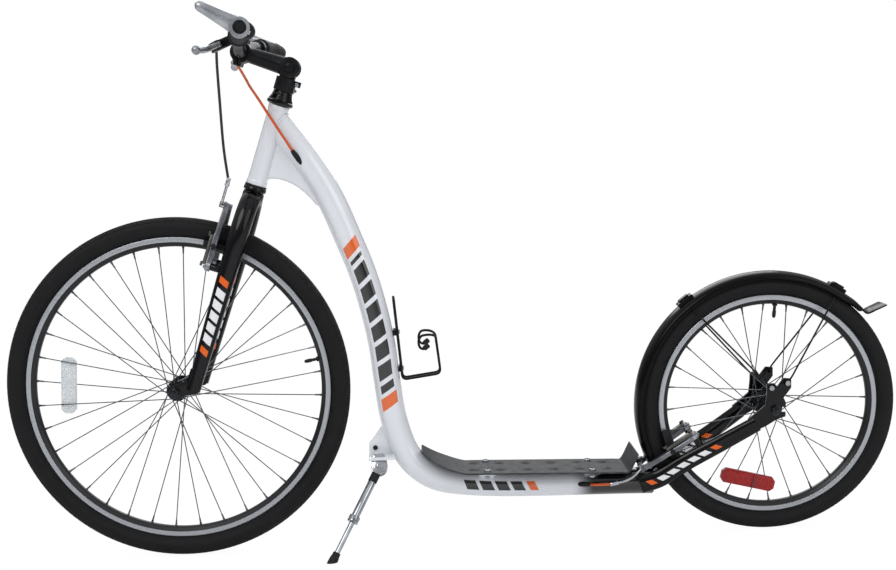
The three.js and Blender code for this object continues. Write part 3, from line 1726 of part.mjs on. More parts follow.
function chainstay(side) {
  const flank = tubeRadius * flatShare(tubeSides) + gap + stayHalfWidth * flatShare(staySides);
  const start = at(stayStartX, side * flank, tubeEnd.z);
  const end = at(stayEndX, side * (rearHubWidth / 2 + rearEndThickness / 2), stayEndZ);
  const reach = end.clone().sub(start);
  const points = stayShares.map(([back, out, rise]) => at(back, out, rise).multiply(reach).add(start));
  const stay = tube(
    smooth(points),
    (share) => [stayHalfWidth, stayHalfHeight * (1 - stayTaperShare * share)],
    staySides,
    across,
  );
  const from = side * (rearHubWidth / 2);
  const to = from + side * rearEndThickness;
  const rearEnd = rearEndShares.map(([back, rise]) => [
    wheelbase + rearEndRadius * back,
    rearTyreRadius + rearEndRadius * rise,
  ]);
  const tab = plate(rearEnd, Math.min(from, to), Math.max(from, to));
  const slotHalf = axleRadius + gap;
  const slot = block(
    at(wheelbase, Math.min(from, to) - gap, rearTyreRadius - slotHalf),
    at(wheelbase + overrun, Math.max(from, to) + gap, rearTyreRadius + slotHalf),
  );
  const [holeFrom, holeTo] = [from - side * gap, to + side * gap];
  const seatHole = crossHole(wheelbase, rearTyreRadius, holeFrom, holeTo, slotHalf);
  const eyelets = eyeletPlaces().map(([x, z]) => crossBar(x, z, holeFrom, holeTo, eyeletRadius, 8));
  const pivot = rearBrakePoint(-gap, side * bossSpread, 0);
  const root = rearBrakePoint(-rearBossLength, side * bossSpread, 0);
  const boss = bar(root, pivot, bossRadius);
  const post = bar(root, rearBrakePoint(armThickness - postEnd, side * bossSpread, 0), postRadius, 8);
  return without(joined([stay, tab, boss, post]), [slot, seatHole, ...eyelets]);
}

function eyeletPlaces() {
  return [
    [wheelbase + frontEyeletX, rearTyreRadius + frontEyeletZ],
    [wheelbase + rearEyeletX, rearTyreRadius + rearEyeletZ],
  ];
}

const rearBrakeTurn = -(90 + rearArmAngle) * degree;
const rearBrakeMatrix = new THREE.Matrix4()
  .makeRotationY(rearBrakeTurn)
  .setPosition(rearPivotX, 0, rearPivotZ);

function rearBrakePoint(out, y, rise) {
  return at(out, y, rise).applyMatrix4(rearBrakeMatrix);
}

// Bottle cage: its places run from the lower strap's spine point, back, to the side and up

function bottleCage() {
  const lowStrap = at(tubeRearAt(cageLowStrap) + cageLowStandoff, 0, cageLowStrap);
  const highStrap = at(tubeRearAt(cageHighStrap) + cageHighStandoff, 0, cageHighStrap);
  const spineRun = highStrap.clone().sub(lowStrap).normalize();
  const parts = [];
  for (const side of [1, -1]) {
    const y = side * cageSpineHalf;
    const spine = (distance) => lowStrap.clone().addScaledVector(spineRun, distance).setY(y);
    const corner = spine(-cageFootDrop);
    const heel = at(lowStrap.x + cageDepth, y, corner.z + cageHeelRise);
    const head = at(heel.x - cageLean, y, heel.z + cageUprightHeight);
    const frame = rounded([spine(cageSpineHeight), corner, heel, head], cageCorner);
    parts.push(rod(frame, cageWire));
    const arm = smooth(
      cageArmShares.map(([back, out, rise]) =>
        at(
          head.x - cageRadius * back,
          side * (cageSpineHalf + (cageRadius - cageSpineHalf) * out),
          head.z + cageArmRise * rise,
        ),
      ),
    );
    parts.push(rod(arm, cageWire));
  }
  const top = lowStrap.clone().addScaledVector(spineRun, cageSpineHeight);
  const arch = smooth([
    top.clone().setY(-cageSpineHalf),
    top.clone().addScaledVector(spineRun, cageSpineHalf / 2),
    top.clone().setY(cageSpineHalf),
  ]);
  parts.push(rod(arch, cageWire));
  for (const strap of [lowStrap, highStrap]) {
    parts.push(
      block(
        at(tubeRearAt(strap.z - cageStrapHalf) + gap, -cageSpineHalf, strap.z - cageStrapHalf),
        at(strap.x, cageSpineHalf, strap.z + cageStrapHalf),
      ),
    );
  }
  return joined(parts);
}

// Mudguard, round the rear axle

function guardRing(crown, outward, halfWidth, depth) {
  const inner = guardShares.map(([reach, drop]) => [
    (halfWidth - guardThickness) * reach,
    guardThickness + Math.max(0, depth - guardThickness) * drop,
  ]);
  const outer = guardShares.map(([reach, drop]) => [halfWidth * reach, depth * drop]);
  const mirrored = (points) => points.slice(0, -1).map(([y, drop]) => [-y, drop]);
  const loop = [...outer, ...mirrored(outer).reverse(), ...mirrored(inner), ...inner.slice().reverse()];
  return loop.map(([y, drop]) => crown.clone().addScaledVector(outward, -drop).setY(y));
}

function mudguard() {
  const rings = [];
  const outer = guardRadius + guardThickness;
  for (let step = 0; step <= guardSteps; step += 1) {
    const angle = (guardFrontAngle + ((guardRearAngle - guardFrontAngle) * step) / guardSteps) * degree;
    const outward = at(Math.cos(angle), 0, Math.sin(angle));
    const crown = at(wheelbase, 0, rearTyreRadius).addScaledVector(outward, outer);
    const narrow = Math.max(0, 1 - step / guardNarrowSteps);
    rings.push(guardRing(crown, outward, guardHalfWidth * (1 - guardNarrowShare * narrow), guardDepth));
  }
  const endAngle = guardRearAngle * degree;
  const outward = at(Math.cos(endAngle), 0, Math.sin(endAngle));
  const run = at(Math.sin(endAngle), 0, -Math.cos(endAngle));
  const end = at(wheelbase, 0, rearTyreRadius).addScaledVector(outward, outer);
  for (const [reach, kick, width, depth, bend] of flapShares) {
    const crown = end.clone().addScaledVector(run, guardFlap * reach);
    crown.addScaledVector(outward, guardFlap * kick);
    const face = outward.clone().applyAxisAngle(across, -bend * quarterTurn);
    const lipDepth = guardThickness + (guardDepth - guardThickness) * depth;
    rings.push(guardRing(crown, face, guardHalfWidth * width, lipDepth));
  }
  return loft(rings);
}

function guardStay(angleDegrees, eyelet) {
  const angle = angleDegrees * degree;
  const outward = at(Math.cos(angle), 0, Math.sin(angle));
  const inset = wireRadius + gap;
  const [eyeX, eyeZ] = eyelet;
  const eyeY = rearHubWidth / 2 + rearEndThickness + gap + wireRadius;
  const facet = ((guardFrontAngle - guardRearAngle) / guardSteps / 2) * degree;
  const crown = guardRadius * Math.cos(facet) - inset;
  const eye = at(eyeX, eyeY, eyeZ);
  const axlePoint = at(wheelbase, 0, rearTyreRadius);
  const edge = axlePoint.clone().addScaledVector(outward, crown - guardDepth + guardThickness);
  edge.setY(guardHalfWidth - guardThickness - inset);
  const away = edge.clone().setY(eyeY).sub(eye).normalize();
  const turnPoint = axlePoint.clone().addScaledVector(outward, crown - wireRadius);
  turnPoint.setY((guardHalfWidth - guardThickness) * wireTurnShare);
  const half = [eye, eye.clone().addScaledVector(away, wireStandoff), edge, turnPoint];
  const other = half.map((point) => at(point.x, -point.y, point.z)).reverse();
  const middle = axlePoint.clone().addScaledVector(outward, crown);
  const parts = [rod(rounded([...half, middle, ...other], 2 * wireRadius), wireRadius)];
  for (const side of [1, -1]) {
    const from = side * (eyeY - wireRadius);
    const to = side * (eyeY + wireRadius);
    parts.push(crossBar(eyeX, eyeZ, from, to, 2 * eyeletRadius + wireRadius, 8));
  }
  return joined(parts).subtract(crossBar(eyeX, eyeZ, -wheelbase, wheelbase, eyeletRadius, 8));
}

// Assembly

// The frame's pieces
const frameGroup = group(leaning);
piece(frameGroup, "main_tube", mainTube(), frameWhite, 0.25, 0);
piece(frameGroup, "head_tube", headTube(), frameWhite, 0.25, 0);
piece(frameGroup, "chainstay_left", chainstay(-1), glossBlack, 0.25, 0);
piece(frameGroup, "chainstay_right", chainstay(1), glossBlack, 0.25, 0);
piece(frameGroup, "bottle_cage", bottleCage(), satinBlack, 0.4, 0);
piece(frameGroup, "mudguard", mudguard(), glossBlack, 0.2, 0);
const [frontEyelet, rearEyelet] = eyeletPlaces();
piece(frameGroup, "mudguard_stay_front", guardStay(frontWireAngle, frontEyelet), satinBlack, 0.4, 0.5);
piece(frameGroup, "mudguard_stay_rear", guardStay(rearWireAngle, rearEyelet), satinBlack, 0.4, 0.5);
piece(frameGroup, "rear_brake_cable", cord(tubeCableRoute), cableOrange, 0.45, 0);

const deckGroup = group(leaning);
deckGroup.applyMatrix4(deckMatrix);
piece(deckGroup, "deck_plate", deckPlate(), deckGrey, 0.6, 0.3);
const boltNames = ["front_left", "front_right", "rear_left", "rear_right"];
deckBoltPlaces.forEach(([x, y], place) => {
  piece(deckGroup, `deck_bolt_${boltNames[place]}`, deckBolt(x, y), chrome, 0.25, 0.95);
});

// The stand
const stand = group(leaning);
piece(stand, "stand_upper_leg", standUpperLeg(), chrome, 0.25, 0.95);
piece(stand, "stand_lower_leg", standLowerLeg(), chrome, 0.25, 0.95);
piece(stand, "stand_foot", standRubberFoot(), rubberBlack, 0.85, 0);

// The wheels
const frontWheel = group(leaning, at(0, 0, frontTyreRadius));
wheel(frontWheel, "front", {
  bead: frontBeadRadius,
  radius: frontTyreRadius,
  steps: 28,
  spokes: frontSpokes,
  flange: frontFlangeRadius,
  hubEnd: frontHubEnd,
  valveAngle: frontValveAngle,
  lens: frontReflectorAngle,
  lensReach: frontReflectorReach,
  lensColour: lensClear,
});
piece(frontWheel, "front_axle", axle(frontHubWidth, forkEndThickness, frontHubEnd), chrome, 0.3, 0.9);
const rearWheel = group(leaning, at(wheelbase, 0, rearTyreRadius));
wheel(rearWheel, "rear", {
  bead: rearBeadRadius,
  radius: rearTyreRadius,
  steps: 24,
  spokes: rearSpokes,
  flange: rearFlangeRadius,
  hubEnd: rearHubEnd,
  valveAngle: rearValveAngle,
  lens: rearReflectorAngle,
  lensReach: rearReflectorReach,
  lensColour: lensRed,
});
piece(rearWheel, "rear_axle", axle(rearHubWidth, rearEndThickness, rearHubEnd), chrome, 0.3, 0.9);

// The steering
const steering = group(leaning, at(headBottomX, 0, headBottomZ), new THREE.Euler(0, tilt, 0));
piece(steering, "headset_cup_lower", lowerCup(), glossBlack, 0.3, 0.5);
piece(steering, "headset_cup_upper", upperCup(), glossBlack, 0.3, 0.5);
piece(steering, "headset_cover", headsetCover(), glossBlack, 0.3, 0.3);
piece(steering, "fork", fork(), glossBlack, 0.2, 0);
piece(steering, "stem_clamp", stemClamp(), satinBlack, 0.35, 0.3);

// The bars
const bars = group(steering, at(0, 0, stemPivotHeight));
piece(bars, "stem_arm", stemArm(), satinBlack, 0.35, 0.3);
piece(bars, "stem_faceplate", stemFaceplate(), satinBlack, 0.35, 0.3);
piece(bars, "stem_pivot_bolt", stemPivotBolt(), chrome, 0.3, 0.9);
const upright = group(bars, at(-stemLength, 0, 0), new THREE.Euler(0, -tilt, 0));
piece(upright, "handlebar", handlebar(), satinBlack, 0.3, 0.4);
for (const [side, name] of [[-1, "left"], [1, "right"]]) {
  const run = onRun(upright, side);
  piece(run, `grip_${name}`, grip(side), rubberBlack, 0.85, 0);
  piece(run, `bar_end_${name}`, barEnd(side), silver, 0.4, 0.8);
  const lever = group(run, at(0, side * leverPlace, 0), new THREE.Euler(0, -leverDroop * degree, 0));
  piece(lever, `brake_lever_body_${name}`, leverBody(side), satinBlack, 0.4, 0.3);
  piece(lever, `brake_lever_blade_${name}`, leverBlade(side), silver, 0.3, 0.9);
}

// The noodles' routes: the front one in the steering's frame, the rear one in the bike's
const frontNoodleX = -frontPivotReach - noodleReach;
const frontNoodleRoute = [
  at(frontNoodleX, -noodleOut, frontNoodleTop - frontPivotDrop),
  at(frontNoodleX, -noodleOut, noodleRise - frontPivotDrop),
  at(frontNoodleX, -noodleIn, noodleRise - frontPivotDrop),
];
const rearNoodleRoute = [
  ...rearNoodleStart.map((point) => at(...point)),
  rearBrakePoint(noodleReach, -rearNoodleOut, noodleRise),
  rearBrakePoint(noodleReach, -noodleIn, noodleRise),
];

// The brakes
const frontTrack = frontBeadRadius + rimFlangeHeight - rimDepth / 4;
const rearTrack = rearBeadRadius + rimFlangeHeight - rimDepth / 4;
brake(steering, "front", {
  place: at(-frontPivotReach, 0, -frontPivotDrop),
  turn: new THREE.Euler(0, 0, Math.PI),
  axlePoint: at(forkRake - frontPivotReach, 0, frontPivotDrop - axleDrop),
  track: frontTrack,
  angle: 0,
  noodleSide: 1,
  leftSide: 1,
});
const rearAxlePoint = at(wheelbase, 0, rearTyreRadius).applyMatrix4(rearBrakeMatrix.clone().invert());
brake(leaning, "rear", {
  place: at(rearPivotX, 0, rearPivotZ),
  turn: new THREE.Euler(0, rearBrakeTurn, 0),
  axlePoint: rearAxlePoint,
  track: rearTrack,
  angle: rearPadAngle,
  noodleSide: -1,
  leftSide: -1,
});
piece(steering, "front_brake_noodle", noodle(frontNoodleRoute), chrome, 0.25, 0.95);
piece(leaning, "rear_brake_noodle", noodle(rearNoodleRoute), chrome, 0.25, 0.95);

// The cables
const cables = group(leaning);
piece(cables, "front_brake_cable", cord(frontCableRoute), satinBlack, 0.45, 0);
piece(cables, "rear_cable_at_lever", cord(leverCableRoute), cableOrange, 0.45, 0);
piece(cables, "rear_cable_at_head", cord(headCableRoute), cableOrange, 0.45, 0);

// The origin goes to the ground under the middle of the box
bike.updateMatrixWorld(true);
const box = new THREE.Box3().setFromObject(bike, true);
leaning.position.set(-(box.min.x + box.max.x) / 2, -(box.min.y + box.max.y) / 2, -box.min.z);

export default bike;
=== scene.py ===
"""A kick bike: its pieces, finishes, light and camera, built round its solids.

Pieces are modelled in millimetres in the frame of what carries them and then put into the scene's
metres. In the bike's own frame X runs back from the front axle, Y to the rider's right and Z up.
"""

import json
import math
from collections import namedtuple

import bmesh
import bpy
import numpy as np
from mathutils import Matrix, Quaternion, Vector


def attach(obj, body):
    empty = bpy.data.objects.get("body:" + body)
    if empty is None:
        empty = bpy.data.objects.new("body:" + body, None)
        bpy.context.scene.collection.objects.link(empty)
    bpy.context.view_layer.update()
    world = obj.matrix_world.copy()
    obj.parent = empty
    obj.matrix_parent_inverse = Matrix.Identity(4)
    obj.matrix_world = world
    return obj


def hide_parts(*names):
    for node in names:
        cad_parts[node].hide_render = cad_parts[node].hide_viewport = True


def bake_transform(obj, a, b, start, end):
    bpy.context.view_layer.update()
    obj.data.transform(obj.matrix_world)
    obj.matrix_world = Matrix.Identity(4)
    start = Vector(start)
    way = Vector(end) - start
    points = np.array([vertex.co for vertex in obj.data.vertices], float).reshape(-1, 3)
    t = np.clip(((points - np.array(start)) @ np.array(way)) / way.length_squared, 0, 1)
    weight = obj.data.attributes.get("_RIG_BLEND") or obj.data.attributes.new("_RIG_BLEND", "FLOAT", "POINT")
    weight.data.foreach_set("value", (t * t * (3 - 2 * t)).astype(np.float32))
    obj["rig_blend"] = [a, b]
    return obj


bl_info = {
    "name": "Kick Bike",
    "version": (1, 0, 0),
    "blender": (4, 5, 0),
    "location": "3D View > Sidebar > Kick Bike",
    "description": "Builds a kick bike piece by piece round its solids",
    "category": "Add Mesh",
}

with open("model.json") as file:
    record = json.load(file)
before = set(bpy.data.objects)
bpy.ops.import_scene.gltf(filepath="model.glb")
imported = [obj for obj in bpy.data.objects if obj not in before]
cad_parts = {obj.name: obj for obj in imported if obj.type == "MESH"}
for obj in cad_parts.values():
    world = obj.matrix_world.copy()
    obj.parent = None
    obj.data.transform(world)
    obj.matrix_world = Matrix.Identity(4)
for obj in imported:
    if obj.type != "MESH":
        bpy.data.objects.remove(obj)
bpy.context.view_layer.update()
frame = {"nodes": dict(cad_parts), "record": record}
JOINTS = {joint["name"]: joint for joint in frame["record"]["behaviour"]["joints"]}

# Sizes that the solids share, in millimetres and degrees
MM = 0.001
LEAN = 2.0
TILT = 19.7
WHEELBASE = 1117.0
FRONT_TYRE, REAR_TYRE = 323.0, 244.0
FRONT_BEAD, REAR_BEAD = 279.5, 203.0
FLANGE_HEIGHT, RIM_DEPTH = 6.5, 18.0
FRONT_SPOKES, REAR_SPOKES = 36, 28
FRONT_VALVE, REAR_VALVE = 9.6, 84.7
HEAD = Vector((167.395, 0, 698.553))
TUBE_TOP = Vector((209.194, 0, 815.294))
TUBE_END = Vector((893.0, 0, 103.0))
TUBE_RADIUS = 25.5
TUBE_SHARES = (
    (0, 0), (0.08, 0.107), (0.136, 0.204), (0.183, 0.318), (0.2164, 0.4088), (0.2404, 0.5),
    (0.2575, 0.59), (0.2685, 0.7), (0.284, 0.81), (0.3206, 0.906), (0.3847, 0.9599),
    (0.4846, 0.9823), (1, 1),
)
STEM_LENGTH = 92.0
BOSS_OFFSET = 44  # from the middle to a brake boss
AXLE_SEAT = 5.1
GUARD_RADIUS, GUARD_HALF_WIDTH, GUARD_DEPTH = 255, 27.6, 13.2
GUARD_FRONT_END, GUARD_REAR_END = 206, 53  # round the wheel from its rear
GUARD_HOLDS = (  # each stay's angle round the wheel and its eye on the rear end
    ("front", 127.0, (WHEELBASE - 8, REAR_TYRE + 42)),
    ("rear", 58.0, (WHEELBASE + 22, REAR_TYRE + 50)),
)
CABLE_RADIUS = 2.5
FRONT_CABLE = (
    (125, -112, 939), (123, -96, 936), (120, -78, 914), (118, -58, 850), (118, -45, 765),
    (122.2, -42, 711),
)
LEVER_CABLE = (
    (125, 112, 939), (129, 97, 934), (139.5, 78, 918), (153.5, 50, 896), (164, 23, 879.5),
)
HEAD_CABLE = (
    (164.5, 22, 878.8), (175, 0, 865), (185.5, -17, 850), (196, -26, 833), (209.5, -30.5, 811),
    (225, -31, 785), (241, -27.5, 757.6), (245.6, -25, 750),
)
TUBE_CABLE = (
    (246, -24.8, 749.3), (251, -22.1, 741), (266, -14, 716), (300, -10, 668), (334, -8, 589),
    (357, -8, 524), (374, -8, 459), (385, -8, 395), (393, -8, 317), (403, -8, 238),
    (428, -8, 170), (472, -8, 131.6), (540, -8, 115.6), (650, -8, 111.7), (712, -10, 109),
    (740, -16, 107), (754, -23, 107), (775, -33, 107), (798.8, -45, 109), (811.6, -46, 109.9),
)
REAR_NOODLE = ((812, -46, 110), (845, -46, 116), (868.7, -46, 138.2), (868.7, -11, 138.2))
FRONT_NOODLE = ((-46.2, -42, -5), (-46.2, -42, -51.5), (-46.2, -11, -51.5))


# Frames


def moved(x=0.0, y=0.0, z=0.0):
    return Matrix.Translation((x, y, z))


def turned(axis, degrees):
    return Matrix.Rotation(math.radians(degrees), 4, axis)


def basis(x, y, z):
    return Matrix((x, y, z)).transposed().to_4x4()


FRONT_AXLE = Vector(JOINTS["front_wheel_spin"]["pos_m"])
BIKE = Matrix.Translation(FRONT_AXLE) @ turned("X", LEAN) @ Matrix.Scale(MM, 4) @ moved(z=-FRONT_TYRE)
STEER = BIKE @ Matrix.Translation(HEAD) @ turned("Y", TILT)
BARS = STEER @ moved(z=223)
UPRIGHT = BARS @ moved(-STEM_LENGTH) @ turned("Y", -TILT)
FRONT_WHEEL = BIKE @ moved(z=FRONT_TYRE)
REAR_WHEEL = BIKE @ moved(WHEELBASE, 0, REAR_TYRE)
FRONT_BRAKE = STEER @ moved(-34, 0, -166) @ turned("Z", 180)
REAR_BRAKE = BIKE @ moved(971, 0, 191) @ turned("Y", -123.4)
ABOUT_Y = turned("X", -90)  # what was modelled about Z now lies about Y
Wheel = namedtuple("Wheel", "name body place bead radius valve spokes flange hub_end")
WHEELS = (
    Wheel("front", "front_wheel", FRONT_WHEEL, FRONT_BEAD, FRONT_TYRE, FRONT_VALVE, FRONT_SPOKES, 20.0, 36.0),
    Wheel("rear", "rear_wheel", REAR_WHEEL, REAR_BEAD, REAR_TYRE, REAR_VALVE, REAR_SPOKES, 24.0, 42.0),
)
TUBE_SLOPE = math.degrees(math.atan2(115.6 - 103, 893 - 540.6))
DECK = BIKE @ moved(562, 0, 114.84) @ turned("Y", TUBE_SLOPE)


def outwards(degrees):
    """The way out from a wheel's axle, at an angle from straight back."""
    angle = math.radians(degrees)
    return Vector((math.cos(angle), 0, math.sin(angle)))


def on_run(side):
    """The frame on the handlebar's outer run, with Y along it."""
    run = Vector((27, side * 200, 3.5)).normalized()
    lengthways = run * side
    back = lengthways.cross(Vector((0, 0, 1))).normalized()
    rise = back.cross(lengthways)
    return UPRIGHT @ moved(7.5, side * 100, 16) @ basis(back, lengthways, rise)


def on_lever(side):
    return on_run(side) @ moved(y=side * 48) @ turned("Y", -22)


# Curves


def eased(points, steps=6):
    """Points along a smooth curve through the given ones."""
    given = [np.array(point, float) for point in points]
    run = [2 * given[0] - given[1], *given, 2 * given[-1] - given[-2]]
    line = []
    for first in range(len(given) - 1):
        a, b, c, d = run[first:first + 4]
        before, within, after = (max(1e-4, np.linalg.norm(q - p) ** 0.5) for p, q in ((a, b), (b, c), (c, d)))
        leave = ((b - a) / before - (c - a) / (before + within) + (c - b) / within) * within
        reach = ((c - b) / within - (d - b) / (within + after) + (d - c) / after) * within
        square = 3 * (c - b) - 2 * leave - reach
        cube = 2 * (b - c) + leave + reach
        for step in range(steps):
            t = step / steps
            line.append(b + leave * t + square * t**2 + cube * t**3)
    return [Vector(point) for point in (*line, given[-1])]


def rounded(points, radius, steps=6):
    """Points along straight runs whose corners are rounded."""
    given = [Vector(point) for point in points]
    line = [given[0]]
    for before, corner, after in zip(given, given[1:], given[2:]):
        cut = min(radius, (before - corner).length / 2, (after - corner).length / 2)
        start = corner + (before - corner).normalized() * cut
        end = corner + (after - corner).normalized() * cut
        for step in range(steps + 1):
            t = step / steps
            line.append(start * (1 - t) ** 2 + corner * 2 * t * (1 - t) + end * t**2)
    return [*line, given[-1]]


def spread(points, spacing):
    """The same line with a point about every so many millimetres."""
    line = [Vector(points[0])]
    for before, after in zip(points, points[1:]):
        before, after = Vector(before), Vector(after)
        parts = max(1, round((after - before).length / spacing))
        line.extend(before.lerp(after, part / parts) for part in range(1, parts + 1))
    return line


def reaches(points):
    """How far along the line each point stands."""
    far = [0.0]
    for before, after in zip(points, points[1:]):
        far.append(far[-1] + (Vector(after) - Vector(before)).length)
    return far


def nearest_size(far, sizes):
    """A line's half sizes, each taken from the point that is nearest along it."""
    lengths = np.array(far)
    return lambda reach: sizes[int(np.argmin(np.abs(lengths - reach)))]


def rings_along(points, size_at, sides, reference=(0, 1, 0)):
    """Rings across a line, whose half sizes come from the length that has passed."""
    points = [Vector(point) for point in points]
    far = reaches(points)
    side = Vector(reference)
    rings = []
    for place, centre in enumerate(points):
        run = (points[min(place + 1, len(points) - 1)] - points[max(place - 1, 0)]).normalized()
        side = (side - run * side.dot(run)).normalized()
        out = run.cross(side)
        wide, tall = size_at(far[place])
        angles = [2 * math.pi * (corner + 0.5) / sides for corner in range(sides)]
        rings.append([centre + side * (wide * math.cos(a)) + out * (tall * math.sin(a)) for a in angles])
    return rings


# Modelling


def rest():
    """Leaves edit mode with nothing selected."""
    if bpy.context.object and bpy.context.object.mode != "OBJECT":
        bpy.ops.object.mode_set(mode="OBJECT")
    bpy.ops.object.select_all(action="DESELECT")


def hold(piece):
    """Selects one piece and nothing else."""
    rest()
    piece.select_set(True)
    bpy.context.view_layer.objects.active = piece
    return piece


def named(name):
    piece = bpy.context.object
    piece.name = piece.data.name = name
    return piece


def edit(piece, mode="FACE"):
    hold(piece)
    bpy.ops.object.mode_set(mode="EDIT")
    bpy.ops.mesh.select_mode(type=mode)
    return bmesh.from_edit_mesh(piece.data)


def pick(mesh, piece, wanted):
    """Selects the faces whose middle and normal are wanted."""
    bpy.ops.mesh.select_all(action="DESELECT")
    for face in mesh.faces:
        face.select_set(bool(wanted(face.calc_center_median(), face.normal)))
    bmesh.update_edit_mesh(piece.data)


def outlined(name, ring, filled=True):
    """A flat ring of points as the start of a piece, left in edit mode."""
    rest()
    fill = "NGON" if filled else "NOTHING"
    bpy.ops.mesh.primitive_circle_add(vertices=len(ring), radius=1, fill_type=fill, enter_editmode=True)
    piece = named(name)
    mesh = bmesh.from_edit_mesh(piece.data)
    mesh.verts.ensure_lookup_table()
    for corner, point in zip(mesh.verts, ring):
        corner.co = Vector(point)
    bmesh.update_edit_mesh(piece.data)
    return piece


def skinned(name, rings, marks=None):
    """A skin that is drawn out from ring to ring, with its ends closed. Marks are kept as "run"."""
    piece = outlined(name, rings[0])
    mesh = bmesh.from_edit_mesh(piece.data)
    layer = mesh.verts.layers.float.new("run") if marks else None
    if marks:
        for corner in mesh.verts:
            corner[layer] = marks[0]
    for place, (before, after) in enumerate(zip(rings, rings[1:]), 1):
        bpy.ops.mesh.extrude_region_move()
        mesh = bmesh.from_edit_mesh(piece.data)
        layer = mesh.verts.layers.float.get("run")
        old = np.array(before, float)
        for corner in mesh.verts:
            if not corner.select:
                continue
            nearest = int(np.argmin(((old - np.array(corner.co)) ** 2).sum(1)))
            corner.co = Vector(after[nearest])
            if layer:
                corner[layer] = marks[place]
        bmesh.update_edit_mesh(piece.data)
    bpy.ops.mesh.select_all(action="SELECT")
    bpy.ops.mesh.normals_make_consistent(inside=False)
    bpy.ops.object.mode_set(mode="OBJECT")
    return piece


def tube(name, points, radius, sides=16, reference=(0, 1, 0), marks=None):
    """A tube along a line, of one radius or of a pair of half sizes at each length."""
    size_at = radius if callable(radius) else lambda far: (radius, radius)
    if marks is True:
        marks = reaches(points)
    return skinned(name, rings_along(points, size_at, sides, reference), marks)


def spun(name, profile, steps=64, merge=0.01):
    """A closed profile of radius and height, spun about Z."""
    piece = outlined(name, [(radius, 0, height) for radius, height in profile], filled=False)
    bpy.ops.mesh.select_all(action="SELECT")
    bpy.ops.mesh.spin(steps=steps, angle=2 * math.pi, center=(0, 0, 0), axis=(0, 0, 1))
    bpy.ops.mesh.select_all(action="SELECT")
    bpy.ops.mesh.remove_doubles(threshold=merge)
    bpy.ops.mesh.delete_loose()
    bpy.ops.mesh.select_all(action="SELECT")
    bpy.ops.mesh.normals_make_consistent(inside=False)
    bpy.ops.object.mode_set(mode="OBJECT")
    return piece


def slab(name, outline, low, high, round_off=1.0, segments=3):
    """A plate whose outline lies in XY, drawn up from one height to another and rounded off."""
    piece = outlined(name, [(x, y, low) for x, y in outline])
    bpy.ops.mesh.extrude_region_move(TRANSFORM_OT_translate={"value": (0, 0, high - low)})
    bpy.ops.mesh.select_all(action="SELECT")
    bpy.ops.mesh.normals_make_consistent(inside=False)
    bpy.ops.object.mode_set(mode="OBJECT")
    if round_off:
        eased_edges(piece, round_off, segments)
    return piece


def upright_slab(name, outline, low, high, round_off=1.0, segments=3):
    """The same with its outline in XZ, from one Y to another."""
    piece = slab(name, [(x, -z) for x, z in outline], low, high, round_off, segments)
    return applied(piece, turned("X", -90))


def applied(piece, matrix):
    """Moves a piece and puts the move into its mesh."""
    hold(piece)
    piece.matrix_world = matrix @ piece.matrix_world
    bpy.ops.object.transform_apply(location=True, rotation=True, scale=True)
    return piece


def eased_edges(piece, width, segments=2, angle=30):
    hold(piece)
    bevel = piece.modifiers.new("edges", "BEVEL")
    bevel.width, bevel.segments = width, segments
    bevel.limit_method, bevel.angle_limit = "ANGLE", math.radians(angle)
    bpy.ops.object.modifier_apply(modifier=bevel.name)
    return piece


def cut(piece, cutter):
    hold(piece)
    hollow = piece.modifiers.new("cut", "BOOLEAN")
    hollow.object, hollow.operation, hollow.solver = cutter, "DIFFERENCE", "EXACT"
    bpy.ops.object.modifier_apply(modifier=hollow.name)
    bpy.data.objects.remove(cutter, do_unlink=True)
    return piece


def bored(piece, name, place, radius, sides=32, depth=40):
    """Cuts a round hole along Y through a piece."""
    rest()
    bpy.ops.mesh.primitive_cylinder_add(
        vertices=sides, radius=radius, depth=depth, location=place, rotation=(math.pi / 2, 0, 0)
    )
    return cut(piece, named(name))


def notched(piece, name, place, size):
    """Cuts a box out of a piece."""
    rest()
    bpy.ops.mesh.primitive_cube_add(size=1, location=place, scale=size)
    return cut(piece, named(name))


def flipped(piece, side):
    """Stands a piece above XY or mirrors it below, as its side says."""
    return applied(piece, Matrix.Scale(side, 4, (0, 0, 1)))


def together(name, pieces):
    hold(pieces[0])
    for piece in pieces[1:]:
        piece.select_set(True)
    if len(pieces) > 1:
        bpy.ops.object.join()
    return named(name)


def copied(piece, matrix):
    """A copy with its own mesh, moved by the matrix."""
    twin = piece.copy()
    twin.data = piece.data.copy()
    bpy.context.collection.objects.link(twin)
    return applied(twin, matrix)


def rod_between(name, start, end, radius, sides=24, end_radius=None, round_off=0.4):
    """A round bar or cone whose ends are rounded off."""
    start, end = Vector(start), Vector(end)
    run = end - start
    rest()
    bpy.ops.mesh.primitive_cone_add(
        vertices=sides, radius1=radius, radius2=radius if end_radius is None else end_radius, depth=run.length
    )
    piece = named(name)
    if round_off:
        eased_edges(piece, round_off, 2)
    turn = Vector((0, 0, 1)).rotation_difference(run).to_matrix().to_4x4()
    return applied(piece, Matrix.Translation((start + end) / 2) @ turn)


def socket_bolt(name, radius, height, sides=24):
    """A round bolt head on XY with a hexagon socket pressed into it."""
    rest()
    bpy.ops.mesh.primitive_cylinder_add(
        vertices=sides, radius=radius, depth=height, location=(0, 0, height / 2),
    )
    piece = applied(named(name), Matrix())
    eased_edges(piece, min(radius, height) * 0.28, 3)
    rest()
    bpy.ops.mesh.primitive_cylinder_add(
        vertices=6, radius=radius * 0.5, depth=height, location=(0, 0, height * 0.95),
    )
    return cut(piece, named("socket"))


